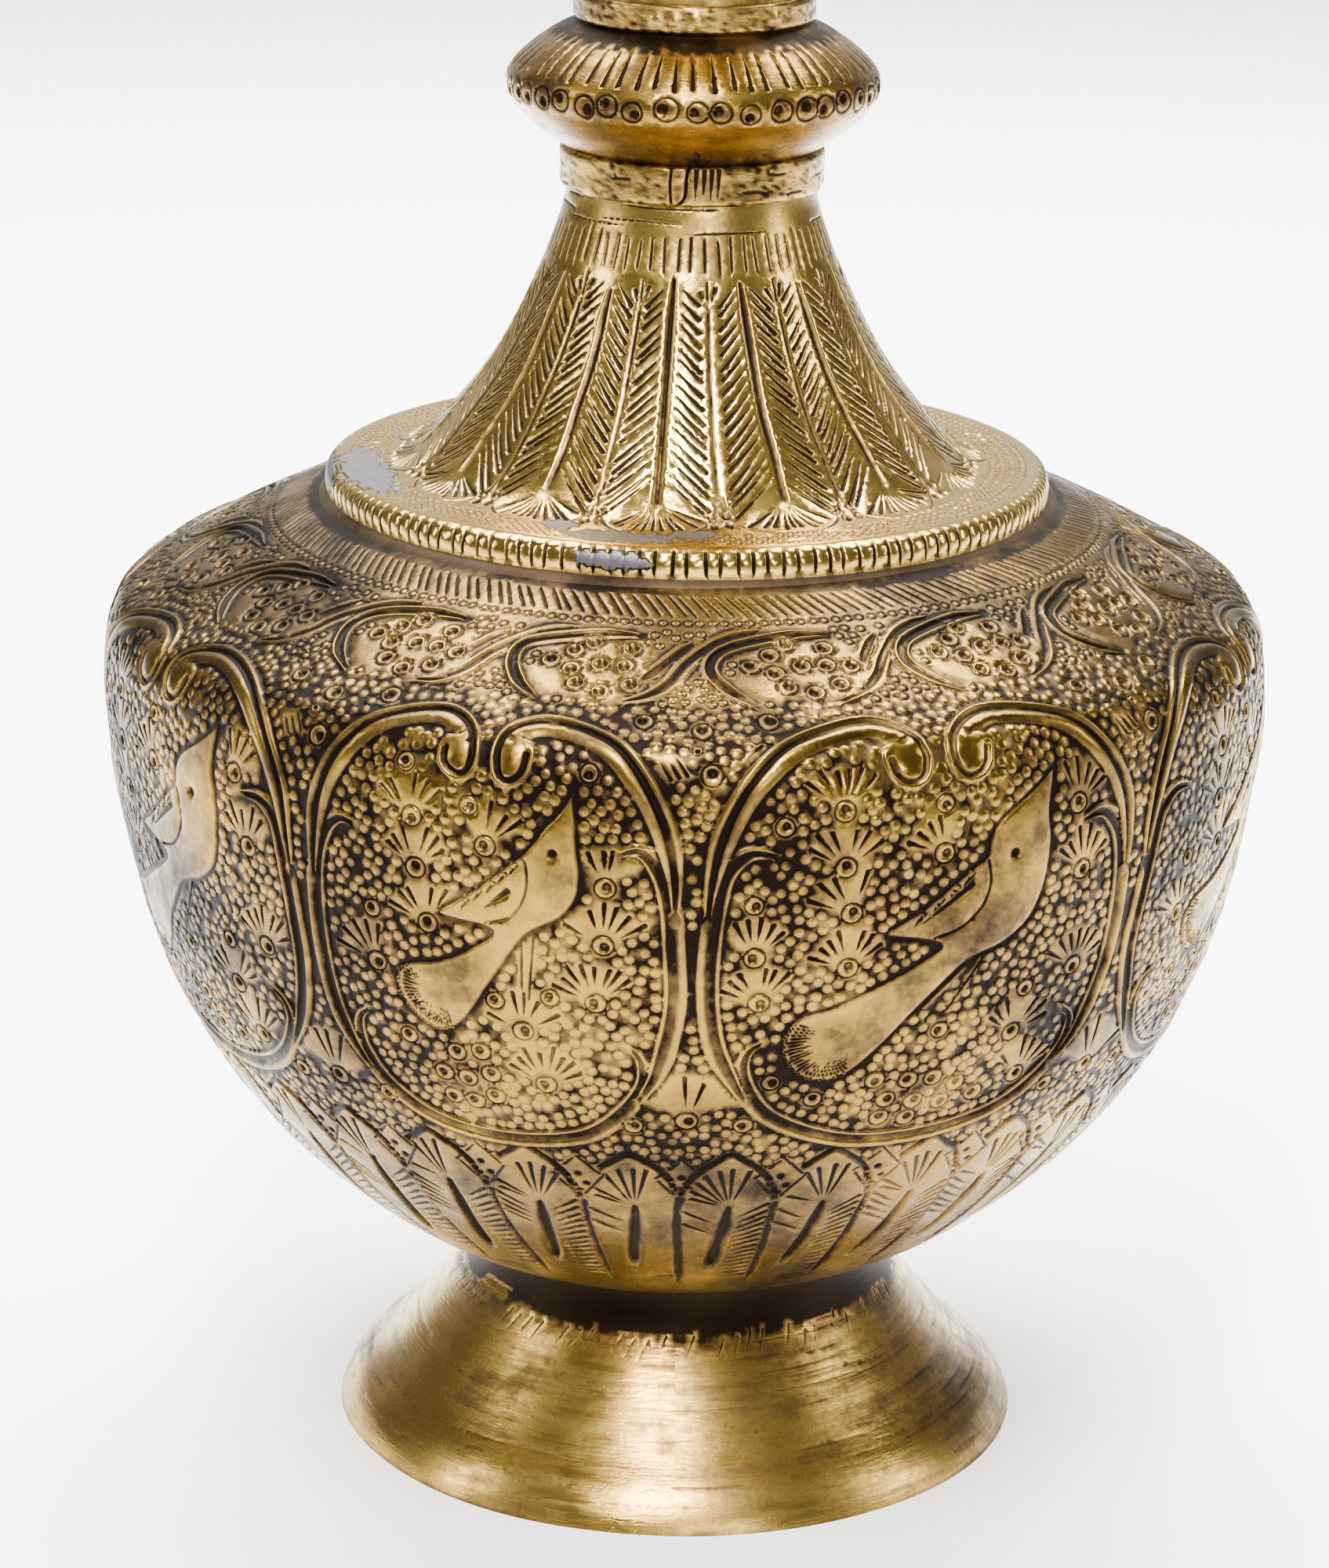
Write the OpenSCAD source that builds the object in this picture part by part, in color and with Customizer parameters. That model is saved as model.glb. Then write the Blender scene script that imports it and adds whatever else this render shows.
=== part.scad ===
// Brass kalash pot: a footed water pot raised and spun from sheet brass.
// A flared foot carries a round belly with a sharp shoulder. A tall cone with
// a ticked flange rises from the shoulder to a hollow knop between two bands,
// and a trumpet mouth stands on top. Everything is soldered, nothing moves.
// Millimetres, +Z up, origin at the centre of the foot's resting edge.

/* [Sheet] */
// Thickness of the sheet brass
wall = 1.1; // [0.8:0.1:1.3]

/* [Foot] */
// Radius of the foot at its resting edge
foot_r = 53.7; // [50:0.1:58]
// Radius of the foot's throat, just under the belly
throat_r = 31.3; // [28:0.1:34]
// Height of the bowl's bottom above the surface the pot stands on
foot_h = 31.8; // [30:0.1:33]

/* [Belly] */
// Largest radius of the belly
belly_r = 88.8; // [85:0.1:92]
// Height of the sharp turn where bowl and shoulder are joined
seam_z = 134.2; // [133:0.1:135]
// How far the shoulder sheet laps down inside the bowl
lap_h = 5; // [3:0.5:8]
// Radius of the hole in the shoulder, under the neck
shoulder_hole_r = 42.5; // [38:0.5:43]

/* [Neck] */
// Radius of the flange at the bottom of the neck cone
flange_r = 55; // [54:0.1:56]
// Height of the flange's upper face
flange_z = 153.9; // [153.5:0.1:154.5]
// Radius of the tube at the top of the neck cone
neck_r = 18.7; // [18:0.1:19.2]
// Height of the top of the neck cone
neck_top_z = 199; // [198:0.1:200]

/* [Bands and knop] */
// Thickness of the two bands
band_t = 1.1; // [0.8:0.1:1.5]
// Lower edge of the lower band
low_band_z = 196.2; // [195:0.1:197]
// Height of the lower band
low_band_h = 6; // [5:0.1:6.4]
// Largest radius of the knop
knop_r = 27.9; // [26:0.1:30]
// Height of the knop's middle, where its two cups meet
knop_z = 211.6; // [211:0.1:212.5]
// Radius of the tube above the knop
tube_r = 16.9; // [16:0.1:17.5]
// Lower edge of the upper band
high_band_z = 221; // [220.8:0.1:221.5]
// Height of the upper band
high_band_h = 4.2; // [3:0.1:5]

/* [Mouth] */
// Height of the whole pot
total_h = 286; // [280:1:295]
// Radius of the mouth at the middle of its wired rim
mouth_r = 37.5; // [34:0.5:42]
// Radius of the wire rolled into the rim
wire_r = 1.6; // [1.2:0.1:2]

/* [Hidden] */

$fn = 128;
// Curve steps between two guide points
steps = 4;
// Height where the two upper tubes meet, inside the upper band
tube_joint_z = high_band_z + high_band_h / 2;
// Colours: aged brass, brushed brass and grey solder
aged = [0.66, 0.50, 0.22];
brushed = [0.80, 0.64, 0.30];
grey = [0.62, 0.61, 0.60];

// Guide points, as [radius, height], along the outer face of each sheet.
foot_guide = [
    [foot_r, 0], [foot_r - 1, 2.4], [foot_r - 3.2, 5.4], [46.4, 9.2], [42, 14],
    [37.1, 20], [33.3, 25.2], [throat_r, 29.4], [throat_r - 0.2, foot_h + wall]
];
bowl_guide = [
    [0, foot_h], [28, foot_h], [38, foot_h + 1.3], [47.6, 38], [57.6, 46], [66.5, 55],
    [73.8, 65], [80.5, 78], [84.4, 90], [87.3, 104], [belly_r, 118], [88.6, 126.5],
    [87.7, 130.6], [85.4, seam_z]
];
shoulder_guide = [
    [85.4, seam_z], [78.9, 138], [71.2, 142], [63.5, 145.7], [57.4, 148.2],
    [51.6, 149.8], [46, 150.3], [shoulder_hole_r, 150.3]
];
cone_guide = [
    [flange_r - 0.2, 149.4], [flange_r, 151.4], [flange_r - 0.5, flange_z - 0.8],
    [flange_r - 1.9, flange_z], [50.5, flange_z], [45.8, flange_z + 0.1], [42.3, 155.2],
    [38.8, 158.2], [35.4, 162.2], [31.5, 167.2], [27.8, 173], [24.3, 180], [21.3, 187],
    [19.3, 193], [neck_r, 196.6], [neck_r, neck_top_z]
];
knop_low_guide = [
    [neck_r, neck_top_z], [neck_r, 200.6], [neck_r + 0.3, 202], [21.2, 203.6],
    [24.6, 206.2], [27.2, 209.2], [knop_r, knop_z]
];
knop_high_guide = [
    [knop_r, knop_z], [27.1, 214], [24, 217], [20.4, 219.4], [17.8, 220.6],
    [tube_r, 221.8], [tube_r, tube_joint_z]
];
trumpet_guide = [
    [tube_r, tube_joint_z], [tube_r, 226], [tube_r - 0.7, 236], [tube_r - 0.9, 248],
    [tube_r + 0.9, 259], [21.4, 268.5], [27.6, 277], [mouth_r - 4, 282.4],
    [mouth_r - wire_r, total_h - wire_r - 0.3]
];

// Headings of a sheet's end: a level cut where it runs up, an upright one where it runs level.
up = [0, 1];
outward = [1, 0];
inward = [-1, 0];

// Smooth curve through guide points p (Catmull-Rom), with the end points doubled.
function at(p, i) = p[max(0, min(len(p) - 1, i))];
function blend_point(a, b, c, d, t) =
    0.5 * (2 * b + t * (c - a) + t * t * (2 * a - 5 * b + 4 * c - d)
    + t * t * t * (3 * b - a - 3 * c + d));
function curve(p) = [
    for (i = [0 : len(p) - 2], k = [0 : steps - 1])
        blend_point(at(p, i - 1), at(p, i), at(p, i + 1), at(p, i + 2), k / steps),
    p[len(p) - 1]
];

// The same curve moved sideways by d, to the left of its direction of travel. At its
// two ends it takes the headings given, so that sheets that meet share a flat cut.
function heading(c, i, first, last) =
    i == 0 ? first :
    i == len(c) - 1 ? last :
    (c[i + 1] - c[i - 1]) / norm(c[i + 1] - c[i - 1]);
function beside(c, d, first, last) = [
    for (i = [0 : len(c) - 1])
        let (h = heading(c, i, first, last))
        [c[i][0] - d * h[1], c[i][1] + d * h[0]]
];
function reversed(c) = [for (i = [len(c) - 1 : -1 : 0]) c[i]];

// Half section of a sheet whose outer face runs along the guide points.
module sheet_section(guide, first = up, last = up) {
    outer = curve(guide);
    polygon(concat(outer, reversed(beside(outer, wall, first, last))));
}

// Foot: a flared skirt, hollow underneath, cut square at its resting edge.
module foot_section() {
    difference() {
        sheet_section(foot_guide);
        bowl_section();
    }
}

module foot() {
    color(brushed)
        rotate_extrude()
            foot_section();
}

// Solder run into the corner between the foot and the underside of the bowl.
module foot_solder() {
    inside_r = throat_r - wall;
    color(grey)
        rotate_extrude()
            difference() {
                polygon([[inside_r - 3, foot_h], [inside_r + wall / 2, foot_h + 0.4],
                    [inside_r + wall / 2, foot_h - 3]]);
                foot_section();
                bowl_section();
            }
}

// Bowl: the belly from its flat bottom up to the sharp turn.
module bowl_section() {
    sheet_section(bowl_guide, first = outward);
}

module lower_bowl() {
    color(aged)
        rotate_extrude()
            bowl_section();
}

// Shoulder: closes the belly, with a lip that laps down inside the bowl.
function lap_face(depth) = [
    for (p = beside(curve(bowl_guide), depth, outward, up)) if (p[1] > seam_z - lap_h) p
];
module shoulder_section() {
    sheet_section(shoulder_guide, last = inward);
    polygon(concat(lap_face(wall), [[85.4 - wall, seam_z + 0.2]], reversed(lap_face(2 * wall))));
}

module shoulder_shell() {
    color(aged)
        rotate_extrude()
            shoulder_section();
}

// Everything under the outer face of the shoulder.
module under_shoulder() {
    polygon(concat(curve(shoulder_guide), [[shoulder_hole_r, 140], [85.4, 130]]));
}

// Solder that fills the groove between the shoulder and the rim of the flange.
module flange_solder() {
    color(grey)
        rotate_extrude()
            difference() {
                polygon([[flange_r - 2.6, 148.6], [flange_r + 2.8, 147],
                    [flange_r + 0.4, 150], [flange_r - 2.6, 150.3]]);
                under_shoulder();
                cone_section();
            }
}

// Neck cone: its bottom edge is rolled out and down into the ticked flange.
module cone_section() {
    sheet_section(cone_guide);
}

module neck_cone() {
    color(aged)
        rotate_extrude()
            cone_section();
}

// Band: a strip of brass bent round two tubes where they meet. Its outer edges are
// filed round, and it is cut to fit the children that it goes over.
module band(radius, z, height) {
    edge = band_t / 2;
    rotate_extrude()
        difference() {
            union() {
                translate([radius - band_t, z + edge])
                    square([2 * band_t, height - 2 * edge]);
                translate([radius - band_t, z])
                    square([2 * band_t - edge, height]);
                for (side = [edge, height - edge])
                    translate([radius + band_t - edge, z + side])
                        circle(r = edge, $fn = 32);
            }
            translate([radius - 2 * band_t, z - 1])
                square([2 * band_t, height + 2]);
            children();
        }
}

module lower_band() {
    color(brushed)
        band(neck_r, low_band_z, low_band_h) {
            cone_section();
            sheet_section(knop_low_guide);
        }
}

module upper_band() {
    color(brushed)
        band(tube_r, high_band_z, high_band_h) {
            sheet_section(knop_high_guide);
            trumpet_section();
        }
}

// Knop: two cups that meet rim to rim round its middle.
module knop_lower() {
    color(aged)
        rotate_extrude()
            sheet_section(knop_low_guide);
}

module knop_upper() {
    color(aged)
        rotate_extrude()
            sheet_section(knop_high_guide);
}

// Mouth: one spun trumpet that opens out to the wired rim.
module trumpet_section() {
    difference() {
        sheet_section(trumpet_guide);
        translate([mouth_r, total_h - wire_r])
            circle(r = wire_r, $fn = 48);
    }
}

module mouth_trumpet() {
    color(brushed)
        rotate_extrude()
            trumpet_section();
}

module rim_wire() {
    color(brushed)
        rotate_extrude()
            translate([mouth_r, total_h - wire_r])
                circle(r = wire_r, $fn = 48);
}

foot();
foot_solder();
lower_bowl();
shoulder_shell();
flange_solder();
neck_cone();
lower_band();
knop_lower();
knop_upper();
upper_band();
mouth_trumpet();
rim_wire();
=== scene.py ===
# %% [markdown]
# # Brass kalash pot
# A footed water pot in aged sheet brass. The sheets are smooth bodies of revolution, and
# everything that makes the pot worth looking at is struck into them by hand: birds in
# scrolled medallions, petals, feathers and thousands of small ring punches. This lesson
# lays every sheet out flat, strikes it as the smith would, and rolls it up again.

# %% Load the frame
import math
import random

import bpy
import numpy as np
from mathutils import Matrix, Vector
from mathutils.geometry import delaunay_2d_cdt


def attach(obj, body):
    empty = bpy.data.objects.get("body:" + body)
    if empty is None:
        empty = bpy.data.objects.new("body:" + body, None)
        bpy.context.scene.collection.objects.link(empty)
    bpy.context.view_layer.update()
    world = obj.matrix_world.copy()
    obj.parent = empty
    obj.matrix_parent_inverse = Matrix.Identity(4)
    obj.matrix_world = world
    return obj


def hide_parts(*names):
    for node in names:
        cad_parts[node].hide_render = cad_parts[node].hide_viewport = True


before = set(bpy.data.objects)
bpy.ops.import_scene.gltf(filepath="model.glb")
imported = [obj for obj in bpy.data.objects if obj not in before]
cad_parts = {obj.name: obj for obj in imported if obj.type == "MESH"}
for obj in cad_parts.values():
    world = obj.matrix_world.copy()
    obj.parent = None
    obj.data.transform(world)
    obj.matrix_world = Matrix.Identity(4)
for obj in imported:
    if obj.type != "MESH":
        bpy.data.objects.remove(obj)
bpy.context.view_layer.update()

MM = 0.001
chance = random.Random(7)
print("frame loaded:", sorted(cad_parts))

# %% [markdown]
# ## The outlines
# Each sheet is spun over a wooden form, so one outline, as radius and height in
# millimetres, holds its whole shape. The points below are the same few guide points that
# the frame was built from. A Catmull-Rom curve passes through all of them, so a spun
# sheet stays fair without any handles to set.

# %% Guide points of the spun sheets
WALL = 1.1
FOOT = [[53.7, 0], [52.7, 2.4], [50.5, 5.4], [46.4, 9.2], [42, 14], [37.1, 20],
        [33.3, 25.2], [31.3, 29.4], [31.1, 32.6]]
BOWL = [[28, 31.8], [38, 33.1], [47.6, 38], [57.6, 46], [66.5, 55], [73.8, 65],
        [80.5, 78], [84.4, 90], [87.3, 104], [88.8, 118], [88.6, 126.5], [87.7, 130.6],
        [85.4, 134.2]]
SHOULDER = [[85.4, 134.2], [78.9, 138], [71.2, 142], [63.5, 145.7], [57.4, 148.2],
            [51.6, 149.8], [46, 150.3], [42.5, 150.3]]
CONE = [[54.8, 149.4], [55, 151.4], [54.5, 153.1], [53.1, 153.9], [50.5, 153.9],
        [45.8, 154], [42.3, 155.2], [38.8, 158.2], [35.4, 162.2], [31.5, 167.2],
        [27.8, 173], [24.3, 180], [21.3, 187], [19.3, 193], [18.7, 196.6], [18.7, 199]]
KNOP_LOW = [[18.7, 199], [18.7, 200.6], [19, 202], [21.2, 203.6], [24.6, 206.2],
            [27.2, 209.2], [27.9, 211.6]]
KNOP_HIGH = [[27.9, 211.6], [27.1, 214], [24, 217], [20.4, 219.4], [17.8, 220.6],
             [16.9, 221.8], [16.9, 223.1]]
TRUMPET = [[16.9, 223.1], [16.9, 226], [16.2, 236], [16, 248], [17.8, 259], [21.4, 268.5],
           [27.6, 277], [33.5, 282.4], [35.9, 284.1]]


def smooth(guide, steps=12):
    """Catmull-Rom curve through the guide points."""
    p = np.array(guide, float)
    p = np.vstack([p[:1], p, p[-1:]])
    t = np.linspace(0, 1, steps, endpoint=False)[:, None]
    runs = [0.5 * (2 * b + t * (c - a) + t ** 2 * (2 * a - 5 * b + 4 * c - d)
                   + t ** 3 * (3 * b - a - 3 * c + d))
            for a, b, c, d in zip(p[:-3], p[1:-2], p[2:-1], p[3:])]
    return np.vstack(runs + [p[-1:]])


print("belly radius", round(smooth(BOWL)[:, 0].max(), 1), "mm")

# %% [markdown]
# ## A sheet laid out flat
# A bowl can't be unrolled without stretching, but it can be laid out so that small shapes
# keep their angles, as a sea chart does: the chart is drawn at one reference radius, and
# its upward scale grows by the same factor as its sideways one. A circle on the chart is
# then a circle on the brass, only smaller or larger, and `scale` says by how much.

# %% The chart of a spun sheet
def uneven(turn, height):
    """How far hand work and years of use have pushed the sheets off the true round."""
    slow = np.sin(2 * turn + 0.8) * 0.35 + np.sin(3 * turn + 2 + height / 40) * 0.25
    quick = np.sin(8 * turn + height / 9) * np.sin(height / 13 + 1) * 0.12
    return slow + quick + np.sin(17 * turn - height / 7 + 2) * np.sin(height / 8) * 0.07


class Chart:
    """A spun sheet laid out flat. x runs round it and y up it, in chart millimetres."""

    def __init__(self, guide, reference):
        self.line = smooth(guide)
        self.reference = reference
        step = np.hypot(*np.diff(self.line, axis=0).T)
        middle = (self.line[1:, 0] + self.line[:-1, 0]) / 2
        self.length = np.r_[0, np.cumsum(step)]
        self.rise = np.r_[0, np.cumsum(step * reference / middle)]
        along = np.gradient(self.line, self.length, axis=0)
        along /= np.hypot(*along.T)[:, None]
        self.out = np.c_[along[:, 1], -along[:, 0]]
        self.round = 2 * math.pi * reference

    def y(self, length):
        """Chart height of a place that lies this far up the sheet."""
        return np.interp(length, self.length, self.rise)

    def lay(self, points):
        """Points given as (distance round, distance up the sheet), put on the chart."""
        p = np.array(points, float)
        return np.c_[p[:, 0], self.y(p[:, 1])]

    def scale(self, y):
        """How many chart millimetres one millimetre of brass takes."""
        return self.reference / np.interp(y, self.rise, self.line[:, 0])

    def roll(self, x, y, lift):
        """Places on the pot, in metres, of chart points lifted off the sheet."""
        radius = np.interp(y, self.rise, self.line[:, 0])
        height = np.interp(y, self.rise, self.line[:, 1])
        out_r = np.interp(y, self.rise, self.out[:, 0])
        out_z = np.interp(y, self.rise, self.out[:, 1])
        reach = radius + lift * out_r
        turn = x / self.reference
        reach = reach + uneven(turn, height) * radius / 88
        return np.c_[reach * np.sin(turn), -reach * np.cos(turn), height + lift * out_z] * MM


belly = Chart(BOWL[:-1] + SHOULDER, 85)
seam_up = float(Chart(BOWL, 85).length[-1])
print("belly chart", round(belly.round), "x", round(belly.rise[-1]), "mm, seam at", round(seam_up, 1))

# %% [markdown]
# ## The work plate
# The smith strikes the large figures first and lets the small punches fill what is left,
# so nothing runs into anything else. The plate does the same. Each mark adds a few points
# with a lift, in millimetres above or below the sheet, and a tarnish from 0, rubbed
# bright, to 1, black. It then stamps the room that it took, and later marks keep off.

# %% The plate that takes the marks
GROUND = -0.28
CELL = 0.125


class Plate:
    """The marks struck into one chart, and the room they take."""

    def __init__(self, chart, low, high):
        self.chart = chart
        self.low = low
        self.high = high
        self.columns = int(round(chart.round / CELL))
        self.rows = int((high - low) / CELL) + 1
        self.taken = np.zeros((self.rows, self.columns), bool)
        self.marks = []

    def cells(self, x, y):
        column = np.floor((np.asarray(x) / self.chart.round + 0.5) * self.columns).astype(int)
        row = np.floor((np.asarray(y) - self.low) / CELL).astype(int)
        return np.clip(row, 0, self.rows - 1), column % self.columns

    def free(self, x, y):
        return ~self.taken[self.cells(x, y)]

    def add(self, x, y, lift, tarnish, over=False):
        """Keeps the points that lie on the plate and, unless over, on free room."""
        x, y, lift, tarnish = np.broadcast_arrays(x, y, lift, tarnish)
        keep = (y > self.low + 0.02) & (y < self.high - 0.02)
        if not over:
            keep = keep & self.free(x, y)
        self.marks.append(np.c_[x[keep], y[keep], lift[keep], tarnish[keep]])

    def stamp(self, x, y, radius):
        """Marks a disc of the chart as taken."""
        reach = int(radius / CELL) + 1
        row, column = self.cells(x, y)
        span = np.arange(-reach, reach + 1)
        disc = (span[:, None] ** 2 + span[None, :] ** 2) * CELL ** 2 <= radius ** 2
        rows = row + span
        inside = (rows >= 0) & (rows < self.rows)
        columns = (column + span) % self.columns
        self.taken[np.ix_(rows[inside], columns)] |= disc[inside]

    def stamp_line(self, path, radius):
        """Marks a band along a path as taken. radius is one number or one per point."""
        radius = np.broadcast_to(radius, len(path))
        for a, b, ra, rb in zip(path[:-1], path[1:], radius[:-1], radius[1:]):
            steps = max(1, int(math.dist(a, b) / max(0.15, min(ra, rb) * 0.4)))
            for t in np.linspace(0, 1, steps, endpoint=False):
                self.stamp(*(a + (b - a) * t), ra + (rb - ra) * t)
        self.stamp(*path[-1], radius[-1])

    def stamp_shape(self, outline):
        """Marks the inside of a closed outline as taken."""
        low, high = outline.min(0), outline.max(0)
        x, y = np.meshgrid(np.arange(low[0], high[0], CELL), np.arange(low[1], high[1], CELL))
        inside = within(outline, x, y)
        self.taken[self.cells(x[inside], y[inside])] = True


def within(outline, x, y):
    """Which points lie inside a closed outline, by counting crossings."""
    inside = np.zeros(np.shape(x), bool)
    for a, b in zip(outline, np.roll(outline, -1, axis=0)):
        if a[1] != b[1]:
            crossing = a[0] + (y - a[1]) * (b[0] - a[0]) / (b[1] - a[1])
            inside ^= ((a[1] > y) != (b[1] > y)) & (x < crossing)
    return inside


def away(path, x, y):
    """Distance of each point from a path."""
    best = np.full(np.shape(x), 1e9)
    for a, b in zip(path[:-1], path[1:]):
        d = b - a
        t = np.clip(((x - a[0]) * d[0] + (y - a[1]) * d[1]) / max(d @ d, 1e-9), 0, 1)
        best = np.minimum(best, np.hypot(x - a[0] - t * d[0], y - a[1] - t * d[1]))
    return best


def walk(points, spacing, steps=8):
    """A smooth path through the points, with points spaced evenly along it."""
    path = smooth(points, steps)
    run = np.r_[0, np.cumsum(np.hypot(*np.diff(path, axis=0).T))]
    count = max(3, int(round(run[-1] / spacing)) + 1)
    at = np.linspace(0, run[-1], count)
    return np.c_[np.interp(at, run, path[:, 0]), np.interp(at, run, path[:, 1])]


print("ground lies", -GROUND, "mm deep")

# %% [markdown]
# ## The marks
# Six kinds of mark make up all the work. A *rib* is a long line with a cross-section: a
# scroll with its two lips and dark channel, or a plain cut. A *wedge* is one blow of a
# chisel, deep at one end. A *ring* is one blow of a hollow punch, and leaves a small dome
# in a dark circle, or only the circle where the blow was light. A *pit* is one blow of a
# round point. A *dot* is a large ring with a pit set off its middle. A *figure* is a
# smooth raised field with a cut outline, such as a bird's body.

# %% Ribs and cuts
def rib(plate, path, sections, side=1, start=1.0, end=1.0, round_start=False, margin=0.15):
    """Sweeps a cross-section along a path on the chart.

    sections is a list of (share of the way, rows), and a row is (offset, lift, tarnish).
    start and end are the shares of the full width left at its two tips.
    """
    path = np.asarray(path, float)
    along = np.gradient(path, axis=0)
    along /= np.maximum(np.hypot(*along.T), 1e-9)[:, None]
    across = np.c_[along[:, 1], -along[:, 0]] * side
    share = np.linspace(0, 1, len(path))
    knots = [s for s, _ in sections]
    table = np.array([rows for _, rows in sections], float)
    rows = np.array([[np.interp(share, knots, table[:, i, j]) for j in range(3)]
                     for i in range(table.shape[1])])
    width = np.minimum(np.interp(share, [0, 0.14], [start, 1]),
                       np.interp(share, [0.8, 1], [1, end]))
    scale = plate.chart.scale(path[:, 1])
    offset = rows[:, 0] * width * scale
    x = path[:, 0] + offset * across[:, 0]
    y = path[:, 1] + offset * across[:, 1]
    true = away(path, x, y)
    keep = true > np.abs(offset) - 0.12
    aside = np.abs(rows[:, 0])
    keep &= (width > 0.35) | (aside < 0.05) | (aside > 0.8 * aside.max())
    sink = np.clip(width, 0.3, 1)
    lift = np.where(rows[:, 1] > 0, rows[:, 1] * sink, rows[:, 1])
    plate.add(x[keep], y[keep], lift[keep], rows[:, 2][keep])
    if round_start:
        for angle in (-60, -30, 0, 30, 60):
            lean = math.radians(angle)
            ring = rows[:, :, 0]
            reach = np.interp(math.sin(lean), [-1, 1], [0, 1])
            half = len(ring) // 2
            for low, high in zip(ring[::-1][:half], ring[:half]):
                far = (abs(low[0]) * (1 - reach) + abs(high[0]) * reach) * scale[0]
                go = -along[0] * math.cos(lean) + across[0] * math.sin(lean)
                plate.add(*(path[0] + go * far), (low[1] + high[1]) / 2, (low[2] + high[2]) / 2)
    low, high = offset.min(0), offset.max(0)
    centre = path + across * ((low + high) / 2)[:, None]
    plate.stamp_line(centre, (high - low) / 2 + margin)


CUT = [(-0.34, 0.0, 0.15), (-0.14, -0.12, 0.7), (0.0, -0.3, 1.0), (0.14, -0.12, 0.7), (0.34, 0.0, 0.15)]


def cut(plate, points, spacing=0.8, depth=1.0, start=1.0, end=1.0, margin=0.05):
    """A plain chiselled line."""
    rows = [(o, l * depth, t) for o, l, t in CUT]
    rib(plate, walk(points, spacing), [(0, rows), (1, rows)], start=start, end=end, margin=margin)


# %% Wedges
def wedge(plate, tip, heel, width=0.8, depth=0.42, tarnish=1.0, over=True, shared=0.3):
    """One chisel blow from a fine tip to a broad heel, given as chart points."""
    tip, heel = np.asarray(tip, float), np.asarray(heel, float)
    length = math.dist(tip, heel)
    go = (heel - tip) / length
    side = np.array([go[1], -go[0]])
    scale = float(plate.chart.scale(heel[1]))
    half = width / 2 * scale
    steps = max(3, int(length / (0.75 * scale)) + 1)
    for t in np.linspace(0, 1, steps):
        middle = tip + go * length * t
        spread = half * (0.2 + 0.8 * t ** 0.7)
        for way in (-1, 1):
            plate.add(*(middle + side * way * spread), 0.0, shared * 0.5, over)
            if t > 0.15:
                plate.add(*(middle + side * way * spread * 0.62), -depth * 0.6 * t, 0.95 * tarnish, over)
        if t > 0:
            plate.add(*middle, -depth * (0.35 + 0.65 * t), tarnish, over)
    plate.add(*(heel + go * 0.3 * scale), 0.0, shared * 0.5, over)
    plate.stamp_line(np.array([tip, heel]), half + 0.12)


# %% Rings and dots
def circle(count, turn=0.0):
    angle = np.linspace(0, 2 * math.pi, count, endpoint=False) + turn
    return np.cos(angle), np.sin(angle)


def ring(plate, x, y, radius=0.84, dome=0.0):
    """One blow of the hollow punch."""
    size = radius * float(plate.chart.scale(y)) * chance.uniform(0.94, 1.04)
    lean = chance.uniform(0, 6.3)
    tilt = chance.uniform(0.06, 0.14)
    dark = chance.uniform(0.66, 0.9)
    cx, cy = circle(11, lean)
    side = cx * math.cos(lean) + cy * math.sin(lean)
    plate.add(x + cx * size, y + cy * size, -0.2 - tilt * side, dark + 0.35 * side, True)
    cx, cy = circle(8, lean)
    side = cx * math.cos(lean) + cy * math.sin(lean)
    plate.add(x + cx * size * 0.74, y + cy * size * 0.74,
              dome - 0.05 - 0.5 * tilt * side, 0.2 + 0.25 * side, True)
    plate.add(x, y, dome - chance.choice((-0.02, 0.0, 0.05, 0.14)), 0.05, True)


def light_ring(plate, x, y, radius=0.8, deep=0.2):
    """A light blow of the hollow punch: a thin dark circle in a level sheet."""
    size = radius * float(plate.chart.scale(y))
    for count, share, lift, tarnish in ((10, 1.12, 0.0, 0.25), (10, 0.92, -deep, 1.0),
                                        (9, 0.76, -deep * 0.7, 0.95),
                                        (7, 0.54, -0.01, 0.1), (1, 0, 0.03, 0.05)):
        cx, cy = circle(count, 0.3 * count)
        plate.add(x + cx * size * share, y + cy * size * share, lift, tarnish, True)


def dot(plate, x, y, radius=1.85, deep=0.5, lean=None, margin=0.1):
    """A large ring with a pit set off its middle."""
    k = float(plate.chart.scale(y))
    lean = chance.uniform(0, 6.3) if lean is None else lean
    cx, cy = circle(14, lean)
    for share, lift, tarnish in ((1.0, -0.05, 0.35), (0.88, -0.34, 1.0), (0.74, -0.05, 0.3),
                                 (0.64, 0.04, 0.0)):
        plate.add(x + cx * radius * k * share, y + cy * radius * k * share, lift, tarnish, True)
    px = x + math.cos(lean) * radius * k * 0.16
    py = y + math.sin(lean) * radius * k * 0.16
    cx, cy = circle(9, lean)
    for share, lift, tarnish in ((0.44, -0.06, 0.25), (0.33, -deep * 0.8, 0.9)):
        plate.add(px + cx * radius * k * share, py + cy * radius * k * share, lift, tarnish, True)
    plate.add(px, py, -deep, 0.62, True)
    plate.stamp(x, y, radius * k + margin)


def pit(plate, x, y, radius=0.6, deep=0.4):
    """A plain round dent."""
    size = radius * float(plate.chart.scale(y))
    cx, cy = circle(8, chance.uniform(0, 1))
    plate.add(x + cx * size, y + cy * size, 0.0, 0.25, True)
    plate.add(x + cx * size * 0.6, y + cy * size * 0.6, -deep * 0.8, 1.0, True)
    plate.add(x, y, -deep, 0.9, True)
    plate.stamp(x, y, size + 0.1)


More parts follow.
